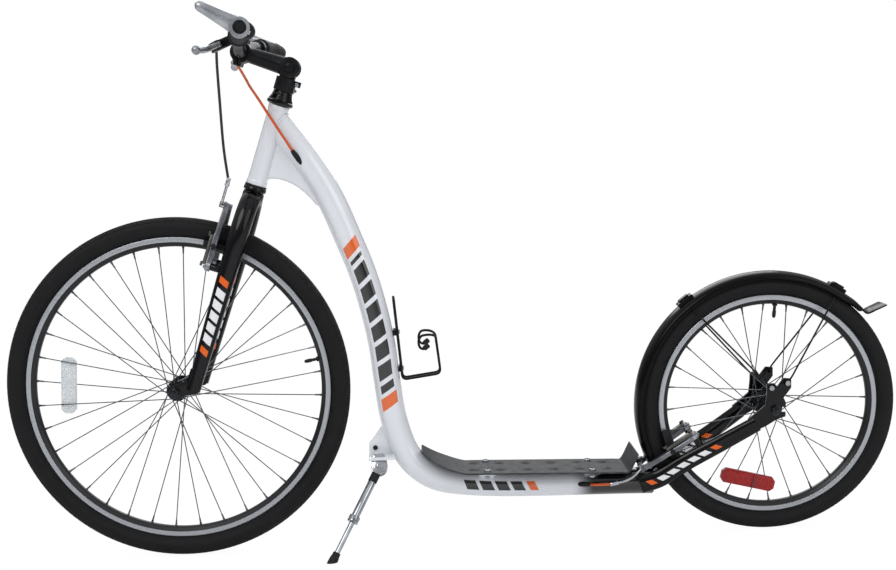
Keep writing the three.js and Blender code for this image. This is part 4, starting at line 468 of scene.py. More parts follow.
def hex_nut(name, radius, height, bore=0.0):
    """A six-sided nut on XY, with its corners turned off."""
    rest()
    bpy.ops.mesh.primitive_cylinder_add(vertices=6, radius=radius, depth=height, location=(0, 0, height / 2))
    piece = applied(named(name), Matrix())
    mesh = edit(piece)
    pick(mesh, piece, lambda middle, normal: abs(normal.z) > 0.9)
    bpy.ops.mesh.inset(thickness=radius * 0.14, depth=height * 0.06)
    bpy.ops.object.mode_set(mode="OBJECT")
    eased_edges(piece, radius * 0.05, 2)
    if bore:
        rest()
        bpy.ops.mesh.primitive_cylinder_add(vertices=20, radius=bore, depth=height * 3)
        cut(piece, named("bore"))
    return piece


def pointing(place, towards, roll=0.0):
    """Where a piece that stands on XY goes to stand at a place and point some way."""
    turn = Vector((0, 0, 1)).rotation_difference(Vector(towards)).to_matrix().to_4x4()
    return Matrix.Translation(Vector(place)) @ turn @ turned("Z", roll)


def settled(piece, place, finish, body, *nodes, slot=None, angle=35, outward=False):
    """Puts a piece in its place, with its finish, on its body and in its nodes' stead."""
    applied(piece, place)
    if outward:
        edit(piece)
        bpy.ops.mesh.select_all(action="SELECT")
        bpy.ops.mesh.normals_make_consistent(inside=False)
        bpy.ops.object.mode_set(mode="OBJECT")
    bpy.ops.object.shade_smooth_by_angle(angle=math.radians(angle))
    piece.data.materials.clear()
    piece.data.materials.append(bpy.data.materials[f"{finish}_finish"])
    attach(piece, body)
    if nodes:
        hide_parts(*nodes)
    rest()
    return piece


def dressed(node, finish, edge=0.6, segments=2):
    """Gives a solid its finish, and rounds its edges as it is drawn."""
    solid = frame["nodes"][node]
    solid.data.materials.clear()
    solid.data.materials.append(bpy.data.materials[f"{finish}_finish"])
    weld = solid.modifiers.new("weld", "WELD")
    weld.merge_threshold = 0.00001
    bevel = solid.modifiers.new("edges", "BEVEL")
    bevel.width, bevel.segments, bevel.use_clamp_overlap = edge * MM, segments, True
    bevel.limit_method, bevel.angle_limit = "ANGLE", math.radians(34)
    bevel.harden_normals = False
    hold(solid)
    bpy.ops.object.shade_smooth_by_angle(angle=math.radians(34))
    rest()


def keep_marks(piece, name, values):
    """Keeps a number at each corner of a piece, for its finish to read."""
    kept = piece.data.attributes
    (kept.get(name) or kept.new(name, "FLOAT", "POINT")).data.foreach_set("value", values)


def set_mark(piece, name, value):
    """The same, with each number worked out from the corner's place."""
    keep_marks(piece, name, [value(corner.co) for corner in piece.data.vertices])


def nearest_points(piece, points):
    """Which point of a line each corner is nearest to, and where the corners are."""
    coords = np.array([corner.co for corner in piece.data.vertices])
    return ((coords[:, None, :] - points[None, :, :]) ** 2).sum(2).argmin(1), coords


# Finishes


def linear(text):
    """A colour written as six figures, as the shader takes it."""
    shares = [int(text[place:place + 2], 16) / 255 for place in (1, 3, 5)]
    return tuple(s / 12.92 if s < 0.04045 else ((s + 0.055) / 1.055) ** 2.4 for s in shares) + (1.0,)


class Flow:
    """A value on its way through a finish's nodes, which takes plain arithmetic."""

    def __init__(self, finish, socket):
        self.finish, self.socket = finish, socket

    def maths(self, operation, *values):
        return self.finish.node("ShaderNodeMath", values, operation=operation)

    def __add__(self, other):
        return self.maths("ADD", self, other)

    __radd__ = __add__

    def __sub__(self, other):
        return self.maths("SUBTRACT", self, other)

    def __rsub__(self, other):
        return self.maths("SUBTRACT", other, self)

    def __mul__(self, other):
        return self.maths("MULTIPLY", self, other)

    __rmul__ = __mul__

    def __truediv__(self, other):
        return self.maths("DIVIDE", self, other)

    def __rtruediv__(self, other):
        return self.maths("DIVIDE", other, self)

    def __abs__(self):
        return self.maths("ABSOLUTE", self)

    def wave(self):
        return self.maths("SINE", self)

    def saw(self):
        return self.maths("FRACT", self)

    def between(self, low, high, to_low=0.0, to_high=1.0):
        """Runs from one value to another while this one runs from low to high."""
        return self.finish.node(
            "ShaderNodeMapRange", (self, low, high, to_low, to_high), interpolation_type="SMOOTHSTEP"
        )

    def inside(self, low, high, edge):
        """One between two values and nothing outside them, with a soft edge."""
        return self.between(low - edge, low + edge) * self.between(high - edge, high + edge, 1.0, 0.0)

    def tint(self, low, high):
        """A colour between two others."""
        made = self.finish.node("ShaderNodeMix", output=2, data_type="RGBA")
        for place, value in ((0, self), (6, low), (7, high)):
            self.finish.join(value, made.socket.node.inputs[place])
        return made


class Finish:
    """A material under construction."""

    def __init__(self, name, **fixed):
        self.material = bpy.data.materials.new(f"{name}_finish")
        self.material.use_nodes = True
        self.tree = self.material.node_tree
        self.shader = self.tree.nodes["Principled BSDF"]
        for socket, value in fixed.items():
            self.shader.inputs[socket.replace("_", " ")].default_value = value
        self.coords = self.tree.nodes.new("ShaderNodeTexCoord").outputs["Object"]

    def join(self, value, socket):
        if isinstance(value, Flow):
            self.tree.links.new(value.socket, socket)
        elif value is not None:
            socket.default_value = value

    def node(self, kind, inputs=(), output=0, **settings):
        """Any node, with its settings and inputs, as the flow that leaves it."""
        made = self.tree.nodes.new(kind)
        for setting, value in settings.items():
            setattr(made, setting, value)
        pairs = inputs.items() if isinstance(inputs, dict) else enumerate(inputs)
        for place, value in pairs:
            self.join(value, made.inputs[place])
        return Flow(self, made.outputs[output])

    def place(self, stretch=(1, 1, 1)):
        return self.node("ShaderNodeMapping", {0: Flow(self, self.coords), 3: stretch})

    def axis(self, place):
        return self.node("ShaderNodeSeparateXYZ", (Flow(self, self.coords),), output=place)

    def mark(self, name):
        return self.node("ShaderNodeAttribute", output=2, attribute_name=name)

    def noise(self, scale, detail=3.0, stretch=(1, 1, 1)):
        return self.node(
            "ShaderNodeTexNoise", {"Vector": self.place(stretch), "Scale": scale, "Detail": detail},
        )

    def cells(self, scale, feature="F1", stretch=(1, 1, 1)):
        return self.node(
            "ShaderNodeTexVoronoi", {"Vector": self.place(stretch), "Scale": scale}, feature=feature
        )

    def wear_and_crease_shade(self):
        """How far a place stands out, from the mesh itself: used for rubbed edges, and for painted shade in
        creases.
        """
        return self.node("ShaderNodeNewGeometry", output=7)

    def give(self, **flows):
        for socket, flow in flows.items():
            self.join(flow, self.shader.inputs[socket.replace("_", " ")])
        return self

    def bump(self, height, depth):
        """Raises the surface by a height that runs from nothing to one, in millimetres."""
        raised = self.node("ShaderNodeBump", {"Height": height, "Distance": depth * MM, "Strength": 1.0})
        return self.give(Normal=raised)


def paint_frame():
    """Clear-coated white that fades to black behind the deck, with stripes along its flanks."""
    colours = bpy.context.scene.kick_bike_colours
    finish = Finish("frame_paint", Coat_Weight=0.9, Coat_Roughness=0.02, Specular_IOR_Level=0.45)
    speck = finish.noise(900, 2)
    mottle = finish.noise(9, 3)
    white = mottle.between(0.3, 0.7).tint(tuple(c * 0.965 for c in colours.frame_paint), colours.frame_paint)
    fade = (finish.axis(0) + (mottle - 0.5) * 0.01).between(0.214, 0.262)
    run, level, flank = finish.mark("run"), finish.mark("level"), finish.mark("flank")
    slanted = run + level * 13
    face = abs(flank).between(0.42, 0.47)
    bars = (slanted / 38).saw().inside(0.12, 0.88, 0.012)
    upper = slanted.inside(292, 552, 0.6) * abs(level).between(0.5, 0.53, 1.0, 0.0) * bars
    ends = (
        slanted.inside(262, 284, 0.6) + slanted.inside(560, 584, 0.6)
    ) * abs(level).between(0.6, 0.63, 1.0, 0.0)
    low_bars = (slanted / 30).saw().inside(0.12, 0.88, 0.014)
    lower = slanted.inside(812, 925, 0.6) * abs(level).between(0.34, 0.37, 1.0, 0.0) * low_bars
    tail = slanted.inside(934, 950, 0.6) * abs(level).between(0.34, 0.37, 1.0, 0.0)
    base = fade.tint(white, colours.fork_paint)
    base = ((upper + lower) * face).tint(base, linear("#0a0a0c"))
    base = ((ends + tail) * face).tint(base, colours.print_orange)
    dust = finish.noise(35, 6).between(0.62, 0.8, 0.0, 0.06)
    finish.give(Base_Color=dust.tint(base, linear("#b9b6ae")), Roughness=mottle.between(0.2, 0.8, 0.12, 0.2))
    finish.bump(speck, 0.02)


def paint_black():
    """Gloss black of the fork and the stays, with slanted stripes where a piece is marked for them."""
    colours = bpy.context.scene.kick_bike_colours
    finish = Finish("black_paint", Coat_Weight=0.3, Coat_Roughness=0.03, Specular_IOR_Level=0.12)
    cloud = finish.noise(14, 4)
    dust = finish.noise(60, 6).between(0.6, 0.85, 0.0, 0.02)
    base = cloud.between(0.3, 0.7).tint(colours.fork_paint, tuple(c * 1.5 for c in colours.fork_paint))
    run, level, flank = finish.mark("run"), finish.mark("level"), finish.mark("flank")
    slanted = run + level * 0.05
    face = abs(flank).between(0.5, 0.55) * abs(level).between(0.52, 0.56, 1.0, 0.0)
    bars = (slanted * 7).saw().inside(0.14, 0.86, 0.02) * slanted.inside(0.15, 0.86, 0.004)
    ends = slanted.inside(0.02, 0.1, 0.004) + slanted.inside(0.9, 0.98, 0.004)
    base = (bars * face).tint(base, linear("#e9eaec"))
    base = (ends * face).tint(base, colours.print_orange)
    finish.give(Base_Color=dust.tint(base, linear("#8d8b86")), Roughness=cloud.between(0.2, 0.8, 0.1, 0.18))
    finish.bump(finish.noise(1100, 2), 0.006)


def paint_deck():
    """Dark textured steel with painted shade on its dimples, rubbed paler on their tops and along its edges.
    """
    finish = Finish("deck_steel", Metallic=0.15, Specular_IOR_Level=0.25)
    # painted shade: the dimples are tinted near black, as if their slopes lay in shadow
    painted_dimple_shade = finish.mark("press").inside(0.04, 0.72, 0.04)
    grit = finish.cells(620)
    scuff = finish.noise(70, 5, stretch=(1, 4, 1))
    rubbed = finish.wear_and_crease_shade().between(0.5, 0.58) * scuff.between(0.35, 0.65)
    base = grit.between(0.1, 0.6).tint(linear("#232427"), linear("#35373a"))
    base = (rubbed * 0.5).tint((painted_dimple_shade * 0.85).tint(base, linear("#0e0e10")), linear("#6f7276"))
    dirt = finish.noise(22, 6).between(0.55, 0.8, 0.0, 0.22)
    finish.give(Base_Color=dirt.tint(base, linear("#5c5851")), Roughness=scuff.between(0.2, 0.8, 0.42, 0.68))
    finish.bump(grit + scuff * 0.4, 0.12)


def paint_wire():
    """Thin black powder coat on wire."""
    finish = Finish("black_wire", Specular_IOR_Level=0.18)
    peel = finish.noise(1400, 3)
    cloud = finish.noise(40, 3)
    finish.give(
        Base_Color=cloud.between(0.3, 0.7).tint(linear("#0a0a0c"), linear("#131416")),
        Roughness=cloud.between(0.2, 0.8, 0.34, 0.5),
    )
    finish.bump(peel, 0.06)


def mould_plastic():
    """Glossy black moulded plastic with fine scratches and a little dust."""
    finish = Finish("gloss_plastic", Specular_IOR_Level=0.1)
    scratch = finish.noise(240, 5, stretch=(1, 0.1, 1))
    dust = finish.noise(55, 6).between(0.58, 0.85, 0.0, 0.03)
    finish.give(
        Base_Color=dust.tint(linear("#0b0b0d"), linear("#85827c")),
        Roughness=scratch.between(0.3, 0.75, 0.12, 0.24),
    )
    finish.bump(finish.noise(500, 2) + scratch * 0.3, 0.002)


def mould_cable(name, colour, dark):
    """Ribbed-under smooth plastic housing, with a faint helix along it."""
    finish = Finish(name, Specular_IOR_Level=0.45)
    cloud = finish.noise(60, 4)
    finish.give(
        Base_Color=cloud.between(0.3, 0.75).tint(colour, dark), Roughness=cloud.between(0.2, 0.8, 0.3, 0.48)
    )
    finish.bump((finish.mark("run") * 1.6).wave() * 0.5 + finish.noise(900, 2), 0.05)


def polish_steel(name, dark, pale):
    """Drawn steel of the spokes, the axles and the thin rods."""
    finish = Finish(name, Metallic=1.0)
    grain = finish.noise(300, 4)
    finish.give(
        Base_Color=grain.between(0.3, 0.7).tint(linear(dark), linear(pale)),
        Roughness=grain.between(0.2, 0.8, 0.22, 0.36),
    )
    finish.bump(grain, 0.01)


def plate_chrome():
    """Chrome plate with a breath of haze."""
    finish = Finish("chrome_plate", Metallic=1.0)
    haze = finish.noise(28, 5)
    finish.give(
        Base_Color=haze.between(0.3, 0.7).tint(linear("#94979c"), linear("#b9bcc0")),
        Roughness=haze.between(0.35, 0.75, 0.07, 0.2),
    )
    finish.bump(finish.noise(420, 3), 0.006)


def cast_silver(name, dark, pale):
    """Tumbled and clear-lacquered alloy of the brake arms and the horns, with painted shade in its creases.
    """
    finish = Finish(name, Metallic=0.9, Coat_Weight=0.15, Coat_Roughness=0.2)
    cast = finish.noise(260, 5)
    stain = finish.noise(30, 4)
    base = stain.between(0.3, 0.7).tint(linear(dark), linear(pale))
    # painted shade: the alloy is tinted darker where the mesh folds in, in its creases
    painted_crease_shade = finish.wear_and_crease_shade().between(0.42, 0.5, 1.0, 0.0)
    finish.give(
        Base_Color=(painted_crease_shade * 0.5).tint(base, linear("#4b4d50")), Roughness=cast.between(0.2, 0.8, 0.28, 0.46)
    )
    finish.bump(cast, 0.035)


def brush_rim():
    """Brushed rim walls above a black spoke bed, with the brake track's fine rings."""
    finish = Finish("rim_alloy", Specular_IOR_Level=0.45)
    band = finish.mark("band")
    brushed = finish.node(
        "ShaderNodeTexNoise", {"W": finish.mark("depth"), "Scale": 3.0, "Detail": 4.0}, noise_dimensions="1D"
    )
    silver = brushed.between(0.3, 0.7).tint(linear("#9b9ea3"), linear("#c4c7cb"))
    black = brushed.between(0.3, 0.7).tint(linear("#141416"), linear("#202124"))
    painted = band.between(0.48, 0.52)
    rings = (finish.mark("depth") * 9).wave()
    finish.give(
        Base_Color=painted.tint(silver, black),
        Metallic=painted.between(0, 1, 0.95, 0.1),
        Roughness=brushed.between(0.2, 0.8, 0.25, 0.4),
    )
    finish.bump(rings * (1 - painted) + brushed, 0.02)


def coat_alloy():
    """Satin black anodised alloy, rubbed to metal on its sharpest edges."""
    finish = Finish("black_alloy", Specular_IOR_Level=0.18)
    blast = finish.noise(800, 3)
    cloud = finish.noise(45, 4)
    edge = finish.wear_and_crease_shade().between(0.56, 0.64) * cloud.between(0.4, 0.6)
    base = cloud.between(0.3, 0.7).tint(linear("#0c0d0f"), linear("#151618"))
    finish.give(
        Base_Color=(edge * 0.35).tint(base, linear("#7d8085")),
        Metallic=edge.between(0.0, 1.0, 0.02, 0.6),
        Roughness=cloud.between(0.2, 0.8, 0.3, 0.46),
    )
    finish.bump(blast, 0.03)


def mould_grip():
    """Soft rubber with a fine raised lattice."""
    finish = Finish("grip_rubber", Specular_IOR_Level=0.3)
    cloud = finish.noise(50, 4)
    run, around = finish.mark("run"), finish.mark("turn")
    lattice = (run * 1.5 + around * 8).wave() * (run * 1.5 - around * 8).wave()
    finish.give(
        Base_Color=cloud.between(0.3, 0.7).tint(linear("#131315"), linear("#222225")),
        Roughness=cloud.between(0.2, 0.8, 0.62, 0.82),
    )
    finish.bump(lattice.between(-0.2, 0.4) * 0.7 + finish.noise(700, 3) * 0.3, 0.35)


def mould_tyre():
    """Tyre rubber: near black, dustier on the tread than on the walls."""
    finish = Finish("tyre_rubber", Specular_IOR_Level=0.22)
    cloud = finish.noise(30, 5)
    grain = finish.noise(900, 3)
    dust = finish.mark("tread").between(0.7, 1.0) * finish.noise(90, 6).between(0.35, 0.7) * 0.35
    base = cloud.between(0.3, 0.7).tint(linear("#0d0d0f"), linear("#161618"))
    finish.give(Base_Color=dust.tint(base, linear("#3c3a37")), Roughness=cloud.between(0.2, 0.8, 0.55, 0.75))
    rings = finish.mark("tread").inside(0.18, 0.22, 0.01) + finish.mark("tread").inside(0.42, 0.45, 0.01)
    finish.bump(grain * 0.4 + rings, 0.25)


def mould_lens(name, pale, deep):
    """A reflector's lens, with rows of tiny prisms behind a smooth face."""
    finish = Finish(name, Specular_IOR_Level=0.3, Coat_Weight=0.35, Coat_Roughness=0.03, Roughness=0.3)
    prisms = finish.cells(420, feature="F1")
    ribs = abs((finish.axis(0) * 900).wave()) * abs((finish.axis(2) * 900).wave())
    finish.give(Base_Color=(prisms.between(0.1, 0.7) * 0.6 + ribs * 0.4).tint(pale, deep))
    finish.bump(prisms + ribs, 0.3)


def mix_finishes():
    colours = bpy.context.scene.kick_bike_colours
    paint_frame()
    paint_black()
    paint_deck()
    paint_wire()
    mould_plastic()
    mould_cable("orange_cable", colours.cable_orange, tuple(c * 0.8 for c in colours.cable_orange))
    mould_cable("black_cable", linear("#141416"), linear("#1f1f22"))
    polish_steel("bright_steel", "#a9adb2", "#c9ccd0")
    polish_steel("spoke_steel", "#4e5054", "#717479")
    polish_steel("dark_steel", "#2a2b2e", "#404246")
    plate_chrome()
    cast_silver("silver_alloy", "#8f9297", "#b3b6ba")
    cast_silver("cast_arm", "#5f6165", "#888b90")
    cast_silver("cast_dark", "#4c4b47", "#6e6d69")
    brush_rim()
    coat_alloy()
    mould_grip()
    mould_tyre()
    mould_lens("clear_lens", linear("#f2f4f5"), linear("#b9c0c4"))
    mould_lens("red_lens", linear("#bd120c"), linear("#7c0805"))


# Camera, light and floor


def set_camera():
    """The camera where the photograph was taken, in the bike's own frame."""
    yaw, pitch, roll = (math.radians(angle) for angle in (-1.31, -8.75, -2.31))
    turn = Matrix.Rotation(yaw, 3, "Z") @ Matrix.Rotation(pitch, 3, "X")
    right, ahead, rise = turn.col
    level = right * math.cos(roll) + rise * math.sin(roll)
    top = rise * math.cos(roll) - right * math.sin(roll)
    data = bpy.data.cameras.new("camera")
    data.sensor_width = 36
    data.lens = 1423 / 896 * 36
    data.shift_x, data.shift_y = (448 - 462.2) / 896, (367.1 - 285) / 896
    data.clip_start, data.clip_end = 0.05, 200
    camera = bpy.data.objects.new("camera", data)
    bpy.context.collection.objects.link(camera)
    facing = turned("X", LEAN).to_3x3() @ Matrix((level, top, -ahead)).transposed()
    camera.matrix_world = Matrix.Translation(BIKE @ Vector((475, -2673, 751))) @ facing.to_4x4()
    bpy.context.scene.camera = camera


def lamp(name, place, aim, size, power, colour=(1, 1, 1)):
    data = bpy.data.lights.new(name, "AREA")
    data.shape, data.size, data.energy, data.color = "DISK", size, power, colour
    light = bpy.data.objects.new(name, data)
    bpy.context.collection.objects.link(light)
    light.location = place
    light.rotation_euler = (Vector(aim) - Vector(place)).to_track_quat("-Z", "Y").to_euler()


def seen_white(tree):
    """One for rays straight from the camera, which see plain white behind the bike."""
    return tree.nodes.new("ShaderNodeLightPath").outputs["Is Camera Ray"]


def lay_floor():
    rest()
    bpy.ops.mesh.primitive_grid_add(x_subdivisions=8, y_subdivisions=8, size=60, location=(0, 0, 0))
    floor = applied(named("floor"), Matrix())
    material = bpy.data.materials.new("floor_white")
    material.use_nodes = True
    tree = material.node_tree
    shader = tree.nodes["Principled BSDF"]
    shader.inputs["Base Color"].default_value = (0.86, 0.86, 0.865, 1)
    shader.inputs["Roughness"].default_value = 0.9
    shader.inputs["Specular IOR Level"].default_value = 0.1
    glow = tree.nodes.new("ShaderNodeEmission")
    glow.inputs["Color"].default_value = (1, 1, 1, 1)
    mix = tree.nodes.new("ShaderNodeMixShader")
    share = tree.nodes.new("ShaderNodeMath")
    share.operation = "MULTIPLY"
    share.inputs[1].default_value = 0.92
    glow.inputs["Strength"].default_value = 1.035
    tree.links.new(seen_white(tree), share.inputs[0])
    tree.links.new(share.outputs[0], mix.inputs[0])
    tree.links.new(shader.outputs[0], mix.inputs[1])
    tree.links.new(glow.outputs[0], mix.inputs[2])
    tree.links.new(mix.outputs[0], tree.nodes["Material Output"].inputs["Surface"])
    floor.data.materials.append(material)


def light_world():
    world = bpy.data.worlds.new("studio")
    world.use_nodes = True
    tree = world.node_tree
    plain = tree.nodes["Background"]
    way = tree.nodes.new("ShaderNodeTexCoord")
    height = tree.nodes.new("ShaderNodeSeparateXYZ")
    tree.links.new(way.outputs["Generated"], height.inputs[0])
    overhead = tree.nodes.new("ShaderNodeMapRange")
    overhead.interpolation_type = "SMOOTHSTEP"
    for place, value in enumerate((0.05, 0.8, 0.2, 0.85), 1):
        overhead.inputs[place].default_value = value
    tree.links.new(height.outputs["Z"], overhead.inputs[0])
    tree.links.new(overhead.outputs[0], plain.inputs["Strength"])
    plain.inputs["Color"].default_value = (0.97, 0.98, 1, 1)
    white = tree.nodes.new("ShaderNodeBackground")
    white.inputs["Color"].default_value = (1, 1, 1, 1)
    mix = tree.nodes.new("ShaderNodeMixShader")
    tree.links.new(seen_white(tree), mix.inputs[0])
    tree.links.new(plain.outputs[0], mix.inputs[1])
    tree.links.new(white.outputs[0], mix.inputs[2])
    tree.links.new(mix.outputs[0], tree.nodes["World Output"].inputs["Surface"])
    bpy.context.scene.world = world


def set_stage():
    bpy.context.scene.view_settings.view_transform = "Standard"
    set_camera()
    lay_floor()
    light_world()
    lamp("key", (-1.6, -2.6, 2.8), (0, 0, 0.4), 2.2, 44)
    lamp("fill", (2.4, -2.4, 1.6), (0.1, 0, 0.4), 2.4, 22)
    lamp("back", (0.3, 2.8, 2.4), (0, 0, 0.5), 2.6, 34)


# Cables


def run_cable(name, route, finish, node, *bodies):
    """A cable's housing along its route, on one body or bending between two."""
    line = eased(route, 8)
    piece = tube(name, line, CABLE_RADIUS, 14, marks=True)
    path = [BIKE @ point for point in line]
    settled(piece, BIKE, finish, bodies[0], node, angle=60)
    if len(bodies) > 1:
        piece.parent = None
        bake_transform(piece, *bodies, start=tuple(path[0]), end=tuple(path[-1]))
    length = sum((after - before).length for before, after in zip(path, path[1:]))


def run_cables():
    run_cable("cable_front", FRONT_CABLE, "black_cable", "front_brake_cable", "bars", "steering")
    run_cable("cable_rear_upper", LEVER_CABLE, "orange_cable", "rear_cable_at_lever", "bars", "steering")
    run_cable("cable_rear_middle", HEAD_CABLE, "orange_cable", "rear_cable_at_head", "steering", "frame")
    run_cable("cable_rear_lower", TUBE_CABLE, "orange_cable", "rear_brake_cable", "frame")


def bend_noodles():
    for word, route, place, body in (
        ("front", FRONT_NOODLE, STEER, "steering"), ("rear", REAR_NOODLE, BIKE, "frame"),
    ):
        line = rounded(route, 15.6, 10)
        first = (line[1] - line[0]).normalized()
        cap = rod_between("cap", line[0] - first * 5, line[0] + first * 9, 3.9)
        cap_rim = rod_between("cap_rim", line[0] + first * 7, line[0] + first * 10.5, 4.5)
        noodle = tube("noodle", spread(line, 4), 2.6, 16, marks=True)
        last = (line[-1] - line[-2]).normalized()
        nose = rod_between("nose", line[-1] - last * 3, line[-1] + last * 3, 2.6, end_radius=1.6)
        piece = together(f"noodle_{word}", [noodle, cap, cap_rim, nose])
        settled(piece, place, "bright_steel", body, f"{word}_brake_noodle")
    for name, start, end, place, body in (
        ("boot_front", (-46.2, -9, -51.5), (-46.2, 22, -51.5), STEER, "front_arm_right"),
        ("boot_rear", (868.7, -9, 138.2), (868.7, 22, 138.2), BIKE, "rear_arm_right"),
    ):
        line = spread([start, end], 0.9)
        ribs = tube(
            name, line, lambda far: (2.6 + 0.7 * math.sin(far * 1.7) + far * 0.02,) * 2, 16, (0, 0, 1),
            marks=True
        )
        settled(ribs, place, "grip_rubber", body, slot="grip_rubber", angle=60)


# Wheels


def tyre_profile(bead, radius):
    """The tyre's wall and its ribbed crown, as radius and height."""
    flange = bead + FLANGE_HEIGHT
    tall = radius - flange
    half = (
        (-0.16, 9.8), (0.02, 10.2), (0.045, 11.2), (0.09, 13.2), (0.15, 15.6), (0.22, 17.8), (0.3, 19.5),
        (0.4, 20.9), (0.5, 21.4), (0.6, 21.2), (0.69, 20.2), (0.775, 18.6), (0.8, 18.1), (0.875, 15.0),
        (0.885, 13.9), (0.93, 11.2), (0.94, 9.8), (0.972, 6.2), (0.955, 5.7), (0.958, 4.6), (0.985, 4.1),
        (0.992, 1.4), (0.972, 1.0),
    )
    inner = ((0.96, 4.0), (0.86, 13.0), (0.6, 18.2), (0.3, 16.5), (0.08, 8.0), (-0.14, 7.2))
    outer = [(flange + share * tall, y) for share, y in half]
    lining = [(flange + share * tall, y) for share, y in inner]
    mirror = [(r, -y) for r, y in reversed(outer)]
    back = [(r, -y) for r, y in reversed(lining)]
    return [*outer, *mirror, *back, *lining]


def mould_tyres():
    for wheel, steps in zip(WHEELS, (176, 132)):
        piece = spun(f"tyre_{wheel.name}", tyre_profile(wheel.bead, wheel.radius), steps)
        flange = wheel.bead + FLANGE_HEIGHT
        tall = wheel.radius - flange

        def rib(middle, normal, low=flange + 0.78 * tall, high=flange + 0.968 * tall):
            away = math.hypot(middle.x, middle.y)
            return low < away < high and 6.3 < abs(middle.z) < 18.4 and normal.xy.dot(middle.xy) > 0

        mesh = edit(piece)
        pick(mesh, piece, rib)
        bpy.ops.mesh.inset(thickness=0.9, use_individual=True)
        bpy.ops.transform.shrink_fatten(value=0.8)
        bpy.ops.object.mode_set(mode="OBJECT")
        set_mark(piece, "tread", lambda co: (math.hypot(co.x, co.y) - flange) / tall)
        settled(piece, wheel.place @ ABOUT_Y, "tyre_rubber", wheel.body, f"{wheel.name}_tyre", angle=40)


def rim_profile(flange):
    """The outer walls and the lining of a rim, as radius and height."""
    half = (
        (0, 11.2), (-0.3, 12.0), (-1.0, 12.4), (-1.9, 12.3), (-2.1, 12.5), (-8.0, 12.5), (-9.0, 12.3),
        (-9.4, 11.9), (-12.2, 9.5), (-12.6, 9.1), (-15.2, 6.9), (-17.0, 5.2), (-17.8, 3.2), (-18.0, 0.6),
    )
    inner = ((-15.9, 0.6), (-15.0, 4.2), (-6.6, 7.0), (-6.4, 9.6), (-0.4, 10.5))
    outer = [(flange + rise, y) for rise, y in half]
    lining = [(flange + rise, y) for rise, y in inner]
    return [*outer, *((r, -y) for r, y in reversed(outer)), *((r, -y) for r, y in lining), *reversed(lining)]


def roll_rims():
    for wheel, steps in zip(WHEELS, (180, 140)):
        flange = wheel.bead + FLANGE_HEIGHT
        piece = spun(f"rim_{wheel.name}", rim_profile(flange), steps)
        set_mark(piece, "band", lambda co: 1.0 if math.hypot(co.x, co.y) < flange - 9.2 else 0.0)
        set_mark(piece, "depth", lambda co: flange - math.hypot(co.x, co.y))
        rim_place = wheel.place @ ABOUT_Y
        settled(piece, rim_place, "rim_alloy", wheel.body, f"{wheel.name}_rim", slot="silver_alloy", angle=30)
        outward = outwards(wheel.valve)
        foot = flange - RIM_DEPTH
        nut = hex_nut("nut", 5.2, 3.0, 3.2)
        stem = spun("stem", [(0, 0), (2.9, 0), (2.9, 16), (3.6, 16.5), (3.6, 25), (2.6, 29), (0, 30)], 20)
        applied(nut, pointing(outward * (foot - 0.2), -outward))
        applied(stem, pointing(outward * (foot + 3), -outward))
        valve = together(f"valve_{wheel.name}", [stem, nut])
        settled(valve, wheel.place, "grip_rubber", wheel.body, f"{wheel.name}_valve")


def spoke_at(spoke, wheel):
    """Where a spoke's hub end and rim end are, and which way it faces."""
    foot = wheel.bead + FLANGE_HEIGHT - RIM_DEPTH
    side = 1 if spoke % 2 == 0 else -1
    trailing = 1 if (spoke // 2) % 2 == 0 else -1
    at_rim = math.radians(wheel.valve) + (spoke + 0.5) * 2 * math.pi / wheel.spokes
    at_hub = at_rim + trailing * 3 * 4 * math.pi / wheel.spokes
    hole = wheel.flange - 3
    start = Vector((hole * math.cos(at_hub), side * (29 + trailing * 2.2), hole * math.sin(at_hub)))
    end = Vector((foot * math.cos(at_rim), side * 2.5, foot * math.sin(at_rim)))
    return start, end, Vector((0, -side * trailing, 0))


def lace_spoke(name, start, end, inward, radius):
    """One spoke: its head, the elbow through the flange, the long run and the nipple."""
    run = (end - start).normalized()
    head = start + inward * 4.6
    line = [
        head, head - inward * 1.0, head - inward * 1.05,
        *rounded([start + inward * 3.2, start, start + run * 6], 2.4, 3),
    ]
    line += [end - run * 13, end - run * 12.6, end - run * 3.2, end - run * 3.0, end + run * 1.2]
    sizes = [1.75, 1.75, radius] + [radius] * (len(line) - 8) + [radius, 1.5, 1.75, 2.3, 2.3]
    size_at = nearest_size(reaches(line), [(size, size) for size in sizes])
    return tube(name, line, size_at, 8, (1, 0, 0))


def lace_wheels():
    gauge = bpy.context.scene.kick_bike_sizes.spoke_gauge / MM / 2
    for wheel in WHEELS:
        laced = []
        for spoke in range(4):
            first = lace_spoke("spoke", *spoke_at(spoke, wheel), gauge)
            laced.append(first)
            for turn in range(1, wheel.spokes // 4):
                laced.append(copied(first, turned("Y", -turn * 4 * 360 / wheel.spokes)))
        settled(
            together(f"spokes_{wheel.name}", laced), wheel.place, "spoke_steel", wheel.body,
            f"{wheel.name}_hub_and_spokes", slot="silver_alloy", angle=40,
        )
        edge, end = wheel.flange, wheel.hub_end
        shell = (
            (5.4, end), (11.2, end), (12, end - 0.8), (12.6, 34.5), (edge - 4.5, 31.2), (edge - 0.6, 30.6),
            (edge, 30), (edge, 28), (edge - 0.6, 27.4), (edge - 5, 27), (13.4, 22), (12, 16), (11.6, 8),
            (11.4, 0.2),
        )
        profile = [*shell, *((r, -y) for r, y in reversed(shell))]
        hub = spun(f"hub_{wheel.name}", profile, 48)
        settled(hub, wheel.place @ ABOUT_Y, "black_alloy", wheel.body, slot="silver_alloy", angle=30)


